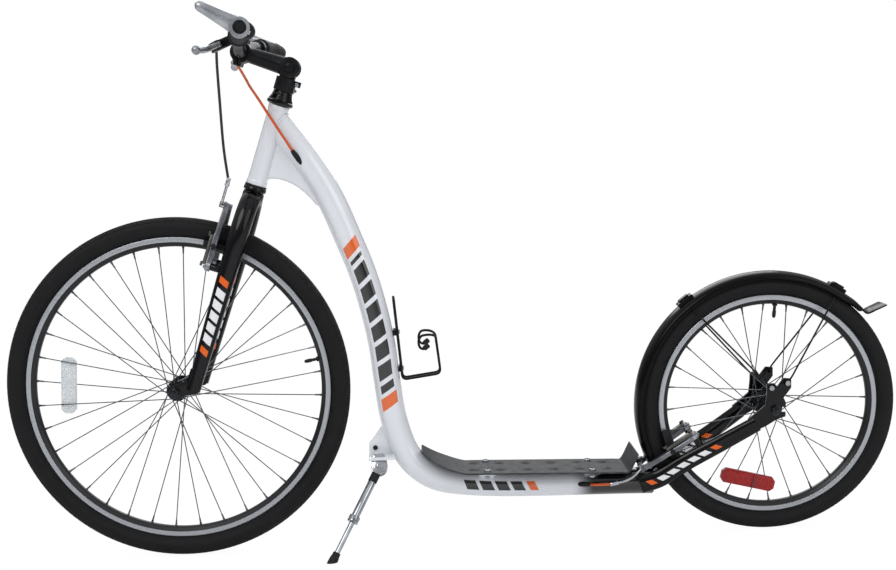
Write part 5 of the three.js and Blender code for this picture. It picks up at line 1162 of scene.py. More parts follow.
def turn_axles():
    for wheel, width, end_thickness, body in (
        (WHEELS[0], 100.0, 5.0, "steering"), (WHEELS[1], 135.0, 6.0, "frame"),
    ):
        washer = width / 2 + end_thickness + 0.3
        parts = [rod_between("rod", (0, 0, -washer - 13), (0, 0, washer + 13), 4.7, 24, round_off=0.8)]
        for side in (1, -1):
            low, high = wheel.hub_end + 0.3, width / 2
            cone = [(4.6, low), (8, low), (8, high - 4), (7, high - 3), (7, high - 0.3), (4.6, high - 0.3)]
            parts.append(flipped(spun("cone", cone, 24), side))
            ring = [
                (4.7, washer), (11.3, washer), (11.5, washer + 0.5), (11.3, washer + 1.9),
                (4.7, washer + 1.9),
            ]
            parts.append(flipped(spun("washer", ring, 32), side))
            parts.append(flipped(applied(hex_nut("nut", 9.5, 8.0), moved(z=washer + 1.9)), side))
        settled(
            together(f"axle_{wheel.name}", parts), wheel.place @ ABOUT_Y, "dark_steel", body,
            f"{wheel.name}_axle", slot="bright_steel", outward=True,
        )


# Frame


def tube_line(spacing=9.0):
    reach = TUBE_END - TUBE_TOP
    points = [TUBE_TOP + Vector((reach.x * back, 0, reach.z * down)) for back, down in TUBE_SHARES]
    return spread(eased(points, 8), spacing)


def mark_ring(piece, line, reference=(0, 1, 0)):
    """Keeps how far each corner stands to the side and up on its tube, from nothing to one."""
    points = np.array(line, float)
    nearest, coords = nearest_points(piece, points)
    ahead = points[np.minimum(nearest + 1, len(points) - 1)] - points[np.maximum(nearest - 1, 0)]
    ahead /= np.linalg.norm(ahead, axis=1)[:, None]
    offset = coords - points[nearest]
    side = np.array(reference, float)[None, :] - ahead * (ahead @ np.array(reference, float))[:, None]
    side /= np.linalg.norm(side, axis=1)[:, None]
    out = np.cross(ahead, side)
    size = np.maximum(np.linalg.norm(offset, axis=1), 1e-6)
    keep_marks(piece, "flank", (offset * side).sum(1) / size)
    keep_marks(piece, "level", (offset * out).sum(1) / size)


def bead_round(name, line, thickness=2.2):
    """A weld's rippled bead along a closed line."""
    points = spread([*line, line[0]], 2.4)
    size_at = lambda far: (thickness * (1 + 0.14 * math.sin(far * 1.9)),) * 2
    return tube(name, points, size_at, 8)


def head_joint(radius):
    """Where the main tube's skin meets the head tube."""
    line = tube_line(2.0)[:60]
    rings = rings_along(line, tube_size, 48)
    place = Matrix.Translation(HEAD) @ turned("Y", TILT)
    back = place.inverted()
    joint = []
    for corner in range(48):
        for ring in rings:
            local = back @ ring[corner]
            if math.hypot(local.x, local.y) >= radius:
                joint.append(ring[corner])
                break
    return joint


def tube_size(far):
    """The main tube's half sizes: drawn in at the head, and round below."""
    swell = min(1.0, far / 100.0)
    swell = swell * swell * (3 - 2 * swell)
    return 17.0 + (TUBE_RADIUS - 17.0) * swell, TUBE_RADIUS


def draw_main_tube():
    line = tube_line()
    skin = tube("skin", line, tube_size, 40, marks=True)
    mark_ring(skin, line)
    head = rod_between(
        "head", HEAD, HEAD + Vector((math.sin(math.radians(TILT)), 0, math.cos(math.radians(TILT)))) * 200,
        18.2, 48, round_off=0,
    )
    cut(skin, head)
    settled(skin, BIKE, "frame_paint", "frame", "main_tube", angle=50)
    weld = bead_round("weld_head", head_joint(19.0))
    settled(weld, BIKE, "frame_paint", "frame", angle=60)
    end = TUBE_END
    run = (line[-1] - line[-2]).normalized()
    plug = spun("plug_rear", [(0, 0), (24.4, 0), (24.8, 0.8), (23.6, 2.4), (0, 3.0)], 48)
    settled(plug, BIKE @ pointing(end - run * 0.4, run), "black_paint", "frame")
    for name, route in (
        ("boot_upper", ((239.5, -28.2, 759.5), (245.6, -25.4, 750), (251, -22.6, 741.4), (256, -19.5, 733))),
        ("boot_lower", ((738, -15, 107.2), (752, -22.5, 107), (764, -28.5, 107), (771, -31.6, 107))),
    ):
        line = spread(eased(route, 4), 1.5)
        long = reaches(line)[-1]
        boot = tube(
            name, line, lambda far: (2.7 + 2.3 * math.sin(math.pi * min(1, max(0, far / long))) ** 0.5,) * 2,
            20,
        )
        settled(boot, BIKE, "grip_rubber", "frame", angle=60)


def tube_at(height):
    """The tube's middle where it comes down through a height."""
    return min(tube_line(1.0)[:700], key=lambda point: abs(point.z - height))


def weld_brackets():
    parts = []
    for x in (12.0, 211.0):
        outline = [(x - 15, -50), (x + 15, -50), (x + 15, 50), (x - 15, 50)]
        parts.append(slab("plate", outline, 22.7, 26.7, 1.2))
        for side in (1, -1):
            web = [(x - 13, side * 17), (x + 13, side * 17), (x + 13, side * 21), (x - 13, side * 21)]
            parts.append(slab("web", web, 10.0, 23.5, 1.0))
    brackets = together("deck_brackets", parts)
    settled(brackets, DECK, "frame_paint", "frame", outward=True)
    low, high = tube_at(178.0), tube_at(236.0)
    outline = [
        (352, 175.5), (352, 200.2), (358, 207), (high.x - 25.5, 234), (high.x - 10, 236), (low.x, 175.5),
    ]
    web = upright_slab("web", outline, -3.0, 3.0, 1.2)
    bored(web, "hole", (364, 0, 192), 4.2, depth=30)
    flange = slab("flange", [(352, -47), (low.x - 22, -47), (low.x - 22, 6), (352, 6)], 175.5, 180.5, 1.0)
    axis, rise, back = stand_axes()
    ears = []
    for side in (1, -1):
        start = STAND_PIVOT + axis * (side * 5.3)
        end = STAND_PIVOT + axis * (side * 9.3)
        ears.append(rod_between("ear", start, end, 12, 36, round_off=0.8))
        middle = STAND_PIVOT + axis * (side * 7.3)
        tall = (177 - middle.z) / rise.z
        strap = slab("strap", [(-10.2, -2), (10.2, -2), (10.2, 2), (-10.2, 2)], 0, tall, 0.8)
        ears.append(applied(strap, Matrix.Translation(middle) @ basis(back, axis, rise)))
    stand = together("stand_bracket", [web, flange, *ears])
    settled(stand, BIKE, "frame_paint", "frame", outward=True)
    shares = [math.pi * (1 + step / 16) for step in range(17)]
    drop_shape = [(15.5 * math.cos(a), 15.5 * math.sin(a)) for a in shares] + [
        (15, 6), (12, 19), (9, 24), (-9, 24), (-12, 19), (-15, 6),
    ]
    covers = []
    for side in (1, -1):
        cover = slab("cover", drop_shape, 9.5, 11.8, 1.0, 3)
        dish = slab("dish", [(x * 0.78, y * 0.78) for x, y in drop_shape], 11.0, 13.0, 1.0, 3)
        covers.extend(flipped(plate, side) for plate in (cover, dish))
    covers.append(applied(socket_bolt("head", 5.6, 3.2), moved(z=12.6)))
    covers.append(rod_between("pin", (0, 0, -12), (0, 0, 12), 3.0))
    cover = together("stand_housing", covers)
    place = Matrix.Translation(STAND_PIVOT) @ basis(back, rise, -axis)
    settled(cover, BIKE @ place, "chrome_plate", "frame", outward=True)
    bolt = socket_bolt("stand_bolt", 4.6, 3.4)
    stem = rod_between("stem", (0, 0, -9), (0, 0, 1), 3.4)
    settled(
        together("stand_bolt", [bolt, stem]), BIKE @ pointing((364, -3.0, 192), (0, -1, 0)), "dark_steel",
        "frame", slot="bright_steel", outward=True,
    )


def draw_head():
    bands = (
        (15.6, 0), (18.6, 0), (19, 0.5), (19, 7.6), (18.6, 8.6), (18, 9.2), (18, 141.8), (18.6, 142.4),
        (19, 143.4),
        (19, 150.5), (18.6, 151), (15.6, 151),
    )
    shell = spun("shell", bands, 64)
    gusset = [
        (15, 14), (24, 19.5), (36, 22.5), (50, 23.2), (64, 21.8), (78, 18), (92, 12.5), (106, 5), (118, -3),
        (128, -2), (131, 8), (100, 42), (68, 68), (40, 92), (15, 104),
    ]
    web = upright_slab("web", gusset, -9.0, 9.0, 6.0, 6)
    piece = together("head_shell", [shell, web])
    settled(piece, STEER, "frame_paint", "frame", "head_tube", angle=40, outward=True)
    lower = spun(
        "cup_low",
        [
            (14.7, -12.3), (19.2, -12.3), (21, -10.8), (21, -6), (20, -4.2), (20.6, -1.6), (19.8, -0.3),
            (14.7, -0.3),
        ],
        56,
    )
    settled(lower, STEER, "black_paint", "frame", "headset_cup_lower")
    upper = spun(
        "cup_high",
        [
            (14.7, 151.3), (19.6, 151.3), (21.2, 153), (24, 154.2), (24.3, 156), (24, 159.4), (23.2, 160),
            (14.7, 160),
        ],
        56,
    )
    settled(upper, STEER, "black_paint", "frame", "headset_cup_upper")
    cover = spun(
        "cover",
        [
            (14.7, 160.3), (22, 160.3), (22.5, 161), (22.1, 163.2), (19.8, 167), (18.2, 173), (17.5, 177.7),
            (17, 178.3), (14.7, 178.3),
        ],
        56,
    )
    settled(cover, STEER, "black_paint", "steering", "headset_cover")


def blade_line(side):
    """A fork blade's middle, up from its end and over into the crown."""
    y = side * 53.0
    middle = -28 - (112 - 28) * 0.4
    inward = side * (15 + 38 * 0.55)
    corners = [Vector(p) for p in ((0, y, -112), (0, y, middle), (0, inward, -28), (0, side * 12, -27))]
    bend = []
    for step in range(17):
        t = step / 16
        weights = ((1 - t) ** 3, 3 * t * (1 - t) ** 2, 3 * t * t * (1 - t), t**3)
        bend.append(sum((c * w for c, w in zip(corners, weights)), Vector()))
    return [*spread([(0, y, -396), (0, y, -112)], 14), *bend[1:]]


def blade_size(far):
    """A blade's half sizes, which grow upwards and flatten into the crown."""
    straight = 284.0
    taper = min(1.0, far / straight)
    bend = min(1.0, max(0.0, far - straight) / 100.0)
    radius = 13.0 + 5.0 * taper
    return radius, radius + (14.0 - 18.0) * bend


def print_share(piece, line, start, end):
    """Marks how far along a printed stretch each corner stands, and keeps other places out of it."""
    far = np.array(reaches(line))
    nearest, _ = nearest_points(piece, np.array(line, float))
    keep_marks(piece, "run", (far[nearest] - start) / (end - start))


def forge_fork():
    parts = []
    for side in (1, -1):
        line = blade_line(side)
        blade = tube("blade", line, blade_size, 32, (1, 0, 0))
        mark_ring(blade, line, (1, 0, 0))
        print_share(blade, line, 70, 222)
        # the print is on the blades' outer sides, which are a quarter turn from the tube's
        level = blade.data.attributes["level"]
        flank = blade.data.attributes["flank"]
        swap = [item.value for item in level.data]
        level.data.foreach_set("value", [item.value for item in flank.data])
        flank.data.foreach_set("value", swap)
        parts.append(blade)
        angles = [math.radians(150 + 20 * step) for step in range(11)]
        tab = [(-31 + 14 * math.cos(a), -410 + 14 * math.sin(a)) for a in angles]
        tab = [(-15.5, -357), (-16.5, -382), *tab, (6, -402), (9.5, -399), (9.5, -357)]
        low = min(side * 50, side * 55)
        plate = upright_slab("tab", tab, low, low + 5, 0.8)
        bored(plate, "seat", (-31, side * 52.5, -410), AXLE_SEAT)
        notched(plate, "slot", (-31, side * 52.5, -430), (2 * AXLE_SEAT, 30, 40))
        parts.append(plate)
        boss = rod_between(
            "boss", (-2, side * BOSS_OFFSET, -166), (-33.7, side * BOSS_OFFSET, -166), 7, 28, round_off=0.8,
        )
        post = rod_between("post", (-20, side * BOSS_OFFSET, -166), (-42, side * BOSS_OFFSET, -166), 4, 20)
        parts.extend([boss, post])
    crown = (
        (0, -33), (15, -33), (18.6, -31.5), (19.8, -28), (19.8, -18), (18.8, -14), (17, -12.9), (14.3, -12.9),
        (14.3, 199.5), (13.8, 200), (12, 200), (12, 14), (0, 14),
    )
    parts.append(spun("crown", crown, 56))
    piece = together("fork_skin", parts)
    settled(piece, STEER, "black_paint", "steering", "fork", angle=40, outward=True)


STAND_PIVOT = Vector((371, -35, 160))
STAND_FOOT = Vector((279, -124, (124 - 7) * math.tan(math.radians(LEAN))))
REAR_END = (
    (-2.7, -2.5), (-1.1, -1.8), (0.2, -1.05), (1.1, -0.8), (1.15, 0.8), (0.9, 1.3), (1.75, 2.4), (1.75, 3.4),
    (0.9, 3.5), (0.2, 2.6), (-0.1, 2.95), (-0.9, 2.95), (-0.95, 1.9), (-1.1, 0.6), (-2.2, -0.3), (-3, -0.9),
)


def stay_line(side):
    """A chainstay's middle, out from the main tube's end and back towards the axle."""
    start = Vector((866, side * 32.5, 103))
    end = Vector((1082, side * 70.5, 219))
    reach = end - start
    shares = ((0, 0, 0), (0.17, 0.02, 0.088), (0.4, 0.22, 0.354), (0.673, 0.5, 0.637), (1, 1, 1))
    return spread(
        eased([start + Vector((reach.x * a, reach.y * b, reach.z * c)) for a, b, c in shares], 8), 8,
    )


def weld_stays():
    rear_post = REAR_BRAKE.inverted() @ BIKE
    for name, side in (("left", -1), ("right", 1)):
        line = stay_line(side)
        far = reaches(line)[-1]
        stay = tube("stay", line, lambda reach: (8.0, 18.0 * (1 - 0.17 * reach / far)), 32, marks=True)
        mark_ring(stay, line)
        print_share(stay, line, 12, 172)
        outline = [(WHEELBASE + 17 * x, REAR_TYRE + 17 * z) for x, z in REAR_END]
        low = min(side * 67.5, side * 73.5)
        plate = upright_slab("plate", outline, low, low + 6, 1.0)
        bored(plate, "seat", (WHEELBASE, side * 70, REAR_TYRE), AXLE_SEAT)
        notched(plate, "slot", (WHEELBASE + 30, side * 70, REAR_TYRE), (60, 40, 2 * AXLE_SEAT))
        for _, _, (x, z) in GUARD_HOLDS:
            bored(plate, "eyelet", (x, side * 70, z), 2.3, 20)
        boss = rod_between(
            "boss", (-27, side * BOSS_OFFSET, 0), (-0.3, side * BOSS_OFFSET, 0), 7, 28, round_off=0.8,
        )
        post = rod_between("post", (-10, side * BOSS_OFFSET, 0), (8, side * BOSS_OFFSET, 0), 4, 20)
        for part in (boss, post):
            applied(part, rear_post.inverted())
        piece = together(f"stay_{name}", [stay, plate, boss, post])
        settled(piece, BIKE, "black_paint", "frame", f"chainstay_{name}", angle=40, outward=True)


# Deck


def deck_width(x):
    """Half the deck's width, drawn in towards its nose."""
    corners = ((-112, 33), (-104, 44), (-90, 52.7), (-68, 59.5), (-50, 60), (400, 60))
    return float(np.interp(x, *zip(*corners)))


def dimple(x, y):
    """How near a place is to the middle of a dimple, from one to nothing at its rim."""
    away = min(math.hypot(x + 12 - 50 * number, abs(y) - 29) for number in range(6))
    return max(0.0, 1 - away / 10.5)


def press_deck():
    front = ((1, 1), (0.9, 0.76), (0.75, 0.5), (0.57, 0.27), (0.4, 0.1), (0.25, 0))
    rear = ((0, 0), (0.25, 0.12), (1, 1))
    nose = [(-112 * a, 0, 28.5 + 38 * b) for a, b in front]
    tail = [(276 + 20 * a, 0, 28.5 + 35 * b) for a, b in rear]
    line = spread([*eased([*nose, (-14, 0, 28.5)], 6), *eased([(266, 0, 28.5), *tail], 6)], 3.4)
    points = np.array(line, float)
    across, along = 40, len(line) - 1
    rest()
    bpy.ops.mesh.primitive_grid_add(x_subdivisions=along, y_subdivisions=across, size=2)
    deck = named("deck_skin")
    for corner in deck.data.vertices:
        place = (corner.co.x + 1) / 2 * along
        low = min(int(place + 0.001), along - 1)
        share = place - low
        centre = points[low] * (1 - share) + points[low + 1] * share
        run = points[min(low + 1, along)] - points[max(low - 1, 0)]
        run /= np.linalg.norm(run)
        y = corner.co.y * deck_width(centre[0])
        lifted = 1.5 + 3.6 * dimple(centre[0], y) ** 0.75
        corner.co = Vector((centre[0] - run[2] * lifted, y, centre[2] + run[0] * lifted))
    # nearness to a dimple, which the deck's finish uses for painted shade on the dimples
    set_mark(deck, "press", lambda co: dimple(co.x, co.y))
    hold(deck)
    shell = deck.modifiers.new("thickness", "SOLIDIFY")
    shell.thickness, shell.offset = 3.0, -1.0
    bpy.ops.object.modifier_apply(modifier=shell.name)
    eased_edges(deck, 0.7, 2, 60)
    settled(deck, DECK, "deck_steel", "frame", "deck_plate", angle=50, outward=True)
    for name, x, y in (
        ("front_left", 12, -43), ("front_right", 12, 43), ("rear_left", 211, -43), ("rear_right", 211, 43),
    ):
        head = socket_bolt("head", 6.5, 3.2, 28)
        washer = spun("washer", [(3, 0), (8.3, 0), (8.5, 0.3), (8.2, 0.7), (3, 0.7)], 32)
        shank = rod_between("shank", (0, 0, -14), (0, 0, 1), 3.0, 16)
        nut = applied(hex_nut("nut", 5.6, 4.0), moved(z=-13))
        bolt = together(f"deck_screw_{name}", [applied(head, moved(z=0.6)), washer, shank, nut])
        settled(
            bolt, DECK @ moved(x, y, 30.1), "chrome_plate", "frame", f"deck_bolt_{name}", slot="bright_steel",
            outward=True,
        )


# Side stand


def stand_axes():
    """The stand's pin, the way up across it and the way back."""
    run = (STAND_FOOT - STAND_PIVOT).normalized()
    twist = math.radians(20.15)
    pin = Vector((0, math.cos(twist), -math.sin(twist)))
    axis = (pin - run * pin.dot(run)).normalized()
    rise = (Vector((0, 0, 1)) - axis * axis.z).normalized()
    return axis, rise, axis.cross(rise)


def hang_stand():
    axis = stand_axes()[0]
    run = (STAND_FOOT - STAND_PIVOT).normalized()
    length = (STAND_FOOT - STAND_PIVOT).length
    leg = BIKE @ pointing(STAND_PIVOT, run)
    knuckle = rod_between("knuckle", STAND_PIVOT - axis * 5, STAND_PIVOT + axis * 5, 9.5, 36, round_off=1.2)
    neck = rod_between("neck", STAND_PIVOT, STAND_PIVOT + run * 20, 6.8, 28, 5.2)
    upper = spun("upper", [(0, 26), (7.2, 26), (7.5, 26.6), (7.5, 104), (0, 104)], 36)
    collar = spun(
        "collar",
        [
            (0, 104), (8.6, 104), (10.2, 105), (10.5, 106), (10.5, 112), (9.6, 113), (10.5, 114), (10.5, 117),
            (10, 118), (5.3, 118), (5.3, 92), (0, 92),
        ],
        36
    )
    for part in (upper, collar):
        applied(part, pointing(STAND_PIVOT, run))
    piece = together("stand_upper", [knuckle, neck, upper, collar])
    settled(piece, BIKE, "chrome_plate", "kickstand", "stand_upper_leg", outward=True)
    sleeve = spun("stand_sleeve", [(7.6, 14), (8.2, 14), (8.5, 14.8), (8.5, 31), (8.1, 32), (7.6, 32)], 36)
    settled(sleeve, leg, "grip_rubber", "kickstand")
    thumb = socket_bolt("head", 3.6, 3.4, 20)
    settled(
        applied(thumb, Matrix()), leg @ moved(10.1, 0, 110) @ turned("Y", 90), "chrome_plate", "kickstand",
    ).name = "collar_screw"
    lower = spun("stand_lower", [(0, 92.5), (5, 92.5), (5, length - 9.2), (0, length - 9.2)], 28)
    settled(lower, leg, "chrome_plate", "kickstand", "stand_lower_leg")
    rings = []
    for far, radius in (
        (-20, 6.9), (-19.4, 7.2), (-14, 7.3), (-12, 7.8), (-9, 8.3), (-4, 8.8), (5, 9.0), (9, 9.0),
    ):
        rings.append(
            [
                (radius * math.cos(a), radius * math.sin(a), length + far)
                for a in np.linspace(0, 2 * math.pi, 33)[:-1]
            ]
        )
    foot = applied(skinned("stand_rubber", rings), pointing(STAND_PIVOT, run))
    rest()
    bpy.ops.mesh.primitive_cube_add(size=200)
    ground = named("ground")
    ground.matrix_world = moved(
        279, -124, 124 * math.tan(math.radians(LEAN)),
    ) @ turned("X", -LEAN) @ moved(z=-100)
    cut(foot, ground)
    settled(foot, BIKE, "grip_rubber", "kickstand", "stand_foot", slot="grip_rubber")


# Bottle cage


def bend_cage():

    def rear(height):
        return tube_at(height).x + 25.8

    low = Vector((rear(343.4) + 4.7, 0, 343.4))
    high = Vector((rear(412.7) + 7.6, 0, 412.7))
    run = (high - low).normalized()
    wires, tips = [], []
    for side in (1, -1):
        y = side * 12.0

        def spine(far, y=y):
            point = low + run * far
            return Vector((point.x, y, point.z))

        corner = spine(-21)
        heel = Vector((low.x + 74, y, corner.z + 9))
        head = Vector((heel.x - 6, y, heel.z + 63))
        wires.append(tube("wire", spread(rounded([spine(130), corner, heel, head], 10, 8), 8), 2.4, 12))
        shares = (
            (0, 0, -0.2), (0.03, 0.1, 0.35), (0.2, 0.55, 0.65), (0.55, 0.88, 0.75), (0.85, 1, 0.65),
            (1, 1, 0.15),
            (0.93, 0.98, -0.45), (0.72, 0.95, -0.62), (0.52, 0.92, -0.35),
        )
        arm = [(head.x - 33 * a, side * (12 + 26 * b), head.z + 19 * c) for a, b, c in shares]
        wires.append(tube("arm", eased(arm, 5), 2.4, 12))
        tips.append(
            rod_between(
                "tip", arm[-2], Vector(arm[-1]) + (Vector(arm[-1]) - Vector(arm[-2])).normalized() * 4, 5.0,
                20, round_off=2.0,
            )
        )
    top = low + run * 130
    peak = top + run * 6
    arch = [(top.x, -12, top.z), (peak.x, 0, peak.z), (top.x, 12, top.z)]
    wires.append(tube("arch", eased(arch, 8), 2.4, 12, (1, 0, 0)))
    for strap in (low, high):
        x = rear(strap.z)
        outline = [(x, -12), (strap.x + 1.6, -12), (strap.x + 1.6, 12), (x, 12)]
        wires.append(slab("strap", outline, strap.z - 6, strap.z + 6, 0.8))
    settled(together("cage_wires", wires), BIKE, "black_wire", "frame", "bottle_cage", angle=50, outward=True)
    settled(together("cage_tips", tips), BIKE, "grip_rubber", "frame", outward=True)
    for name, strap in (("low", low), ("high", high)):
        head = socket_bolt("head", 4.6, 3.2, 24)
        settled(
            head, BIKE @ pointing((strap.x + 1.6, 0, strap.z), (1, 0, 0)), "chrome_plate", "frame",
        ).name = f"cage_screw_{name}"


# Mudguard


def guard_ring(crown, outward, half, depth):
    """The guard's section: an arched sheet with turned edges."""
    arch = [
        (math.sin(t * math.pi / 2), 1 - math.cos(t * math.pi / 2) ** 0.8) for t in np.linspace(0, 0.96, 9)
    ]
    outer = [(half * a, depth * b) for a, b in arch]
    outer += [(half, depth), (half - 0.3, depth + 1.4), (half - 1.6, depth + 1.6)]
    inner = [((half - 2) * a, 2 + max(0.0, depth - 2) * b) for a, b in arch]
    inner += [(half - 2.2, depth)]
    loop = [
        *outer, *reversed(inner), *((-y, d) for y, d in inner[1:]),
        *((-y, d) for y, d in reversed(outer[1:])),
    ]
    return [Vector((crown.x - outward.x * d, y, crown.z - outward.z * d)) for y, d in loop]


def mould_guard():
    hub = Vector((WHEELBASE, 0, REAR_TYRE))
    rings = []
    for step in range(61):
        share = step / 60
        outward = outwards(GUARD_FRONT_END + (GUARD_REAR_END - GUARD_FRONT_END) * share)
        narrow = max(0.0, 1 - share * 4)
        rings.append(
            guard_ring(
                hub + outward * GUARD_RADIUS, outward, GUARD_HALF_WIDTH * (1 - 0.25 * narrow), GUARD_DEPTH,
            )
        )
    outward = outwards(GUARD_REAR_END)
    run = Vector((outward.z, 0, -outward.x))
    end = hub + outward * GUARD_RADIUS
    knots = [
        (0, 0, 1, 1, 0), (0.4, 0, 0.95, 0.6, 0), (0.8, -0.06, 0.9, 0.3, 0), (1.03, -0.1, 0.9, 0.15, 0.3),
        (1.2, 0.15, 0.95, 0.05, 0.6), (1.46, 0.58, 1, 0, 0.65),
    ]
    places = eased([(a, b, c) for a, b, c, _, _ in knots], 4)
    others = eased([(d, e, 0) for _, _, _, d, e in knots], 4)
    for place, other in list(zip(places, others))[1:]:
        crown = end + run * (46 * place.x) + outward * (46 * place.y)
        face = Quaternion((0, 1, 0), -other.y * math.pi / 2) @ outward
        depth = 2 + 11.2 * max(0.0, min(1.0, other.x))
        rings.append(guard_ring(crown, face, GUARD_HALF_WIDTH * min(1.0, place.z), depth))
    guard = skinned("guard", rings)
    settled(guard, BIKE, "gloss_plastic", "frame", "mudguard", angle=50, outward=True)
    for name, degrees, _ in GUARD_HOLDS:
        outward = outwards(degrees)
        back = Vector((outward.z, 0, -outward.x))
        clip = slab("clip", [(-17, -13), (17, -13), (17, 13), (-17, 13)], -4, 5.0, 2.0, 4)
        bump = slab("bump", [(-11, -8), (11, -8), (11, 8), (-11, 8)], 4, 8.5, 1.6, 3)
        piece = together(f"guard_clip_{name}", [clip, bump])
        place = Matrix.Translation(hub + outward * GUARD_RADIUS) @ basis(back, Vector((0, 1, 0)), outward)
        settled(piece, BIKE @ place, "gloss_plastic", "frame", outward=True)


def bend_guard_stays():
    hub = Vector((WHEELBASE, 0, REAR_TYRE))
    for name, degrees, eye in GUARD_HOLDS:
        outward = outwards(degrees)
        eye_y = 73.5 + 0.3 + 1.7  # a rod's thickness outside the rear end
        crown = 253 * math.cos(math.radians((GUARD_FRONT_END - GUARD_REAR_END) / 24)) - 2.0
        start = Vector((eye[0], eye_y, eye[1]))
        edge = hub + outward * (crown - 13)
        edge.y = 24.0
        away = Vector((edge.x, eye_y, edge.z)) - start
        away.normalize()
        bend = hub + outward * (crown - 1.7)
        bend.y = 15.6
        half = [start, start + away * 16, edge, bend]
        other = [Vector((p.x, -p.y, p.z)) for p in reversed(half)]
        middle = hub + outward * crown
        parts = [tube("rod", spread(rounded([*half, middle, *other], 6, 6), 12), 1.7, 12, (1, 0, 0))]
        for side in (1, -1):
            loop = [
                (start.x + 4.4 * math.cos(a), side * eye_y, start.z + 4.4 * math.sin(a))
                for a in np.linspace(0, 2 * math.pi, 25)
            ]
            parts.append(tube("eye", loop, 1.7, 10))
        settled(
            together(f"guard_rod_{name}", parts), BIKE, "black_wire", "frame", f"mudguard_stay_{name}",
            angle=60, outward=True,
        )
        for side in (1, -1):
            head = socket_bolt("head", 4.8, 3.0, 20)
            place = pointing((start.x, side * (eye_y + 1.6), start.z), (0, side, 0))
            side_name = "right" if side > 0 else "left"
            settled(head, BIKE @ place, "chrome_plate", "frame").name = f"guard_screw_{name}_{side_name}"


# Handlebar, grips and horns


def bar_line():
    """The handlebar's middle, straight at the stem and swept back and up to its ends."""
    half = [(0, 42, 0), (7.5, 100, 16), (34.5, 300, 19.5)]
    left = [(x, -y, z) for x, y, z in reversed(half)]
    return spread(rounded([*left, *half], 30, 8), 12)


def bend_bar():
    line = bar_line()
    total = reaches(line)[-1]

    def size(far):
        taper = min(1.0, max(0.0, (abs(far - total / 2) - 24) / 26))
        radius = 12.7 + (11.1 - 12.7) * taper * taper * (3 - 2 * taper)
        return radius, radius

    bar = tube("bar", line, size, 28, (0, 0, 1), marks=True)
    settled(bar, UPRIGHT, "black_alloy", "bars", "handlebar", angle=50)


def mould_grips():
    end = math.hypot(27, 200, 3.5) - 16.3
    shares = (
        (0, 1.14, 0), (0.012, 1.19, 0), (0.028, 1.19, 0), (0.04, 1.0, 0), (0.2, 0.99, 0), (0.35, 1, 0),
        (0.5, 1, 0.3), (0.65, 1, 0.75), (0.8, 1, 1), (0.94, 1, 0.9), (0.985, 0.97, 0.7), (1, 0.9, 0.5),
    )
    places = np.linspace(0, 1, 56).tolist() + [0.012, 0.028, 0.04, 0.985]
    for side, name in ((-1, "left"), (1, "right")):
        rings, marks = [], []
        for place in sorted(set(places)):
            size = float(np.interp(place, [s[0] for s in shares], [s[1] for s in shares]))
            wing = float(np.interp(place, [s[0] for s in shares], [s[2] for s in shares]))
            y = side * (66 + (end - 66) * place)
            ring = []
            for corner in range(36):
                angle = 2 * math.pi * corner / 36
                swell = max(0.0, math.cos(angle + math.radians(15))) ** 3
                radius = 16 * size + 11 * wing * swell
                ring.append((radius * math.cos(angle), y, radius * math.sin(angle)))
            rings.append(ring)
            marks.append(place * (end - 66))
        grip = skinned(f"grip_{name}_rubber", rings, marks)
        set_mark(grip, "turn", lambda co: math.atan2(co.z, co.x))
        settled(grip, on_run(side), "grip_rubber", "bars", f"grip_{name}", angle=50)


def forge_horns():
    end = math.hypot(27, 200, 3.5)
    for side, name in ((-1, "left"), (1, "right")):
        middle = side * (end - 8)
        ring = [(11.4, -8), (16.2, -8), (17, -7.2), (17, 7.2), (16.2, 8), (11.4, 8)]
        collar = applied(spun("collar", ring, 48), moved(y=middle) @ ABOUT_Y)
        ahead = Vector((-math.cos(math.radians(30)), 0, math.sin(math.radians(30))))
        shares = np.linspace(0, 1, 22)
        line, sizes = [], []
        for share in shares:
            tip = math.sqrt(max(0.0, 1 - max(0.0, (share - 0.86) / 0.14) ** 2))
            width = 15 + (8 - 15) * share**0.7
            line.append(ahead * (12 + 67.5 * share) + Vector((0, middle, 0)))
            sizes.append((max(0.6, 7 * tip), max(0.8, width * tip)))
        horn = tube("horn", line, nearest_size(reaches(line), sizes), 28, (0, 1, 0))
        screw = applied(
            socket_bolt("screw", 3.4, 2.4, 18), pointing(Vector((0, middle, 0)) - ahead * 16.8, -ahead),
        )
        piece = together(f"horn_{name}", [collar, horn, screw])
        settled(piece, on_run(side), "silver_alloy", "bars", f"bar_end_{name}", angle=45, outward=True)
        plug = spun(
            f"plug_{name}", [(0, 0), (10.9, 0), (11.1, 1.2), (10.6, 2.4), (8.2, 3.2), (7.6, 2.7), (0, 2.6)],
            36,
        )
        place = pointing((0, side * (end - 2.9), 0), (0, side, 0))
        settled(plug, on_run(side) @ place, "gloss_plastic", "bars", slot="grip_rubber")


# Levers


def strip(points):
    """The outline of a strip from its middle points and half widths."""
    left, right = [], []
    for place, (x, y, half) in enumerate(points):
        before, after = points[max(0, place - 1)], points[min(len(points) - 1, place + 1)]
        run = Vector((after[0] - before[0], after[1] - before[1])).normalized()
        left.append((x - run.y * half, y + run.x * half))
        right.append((x + run.y * half, y - run.x * half))
    return [*left, *reversed(right)]


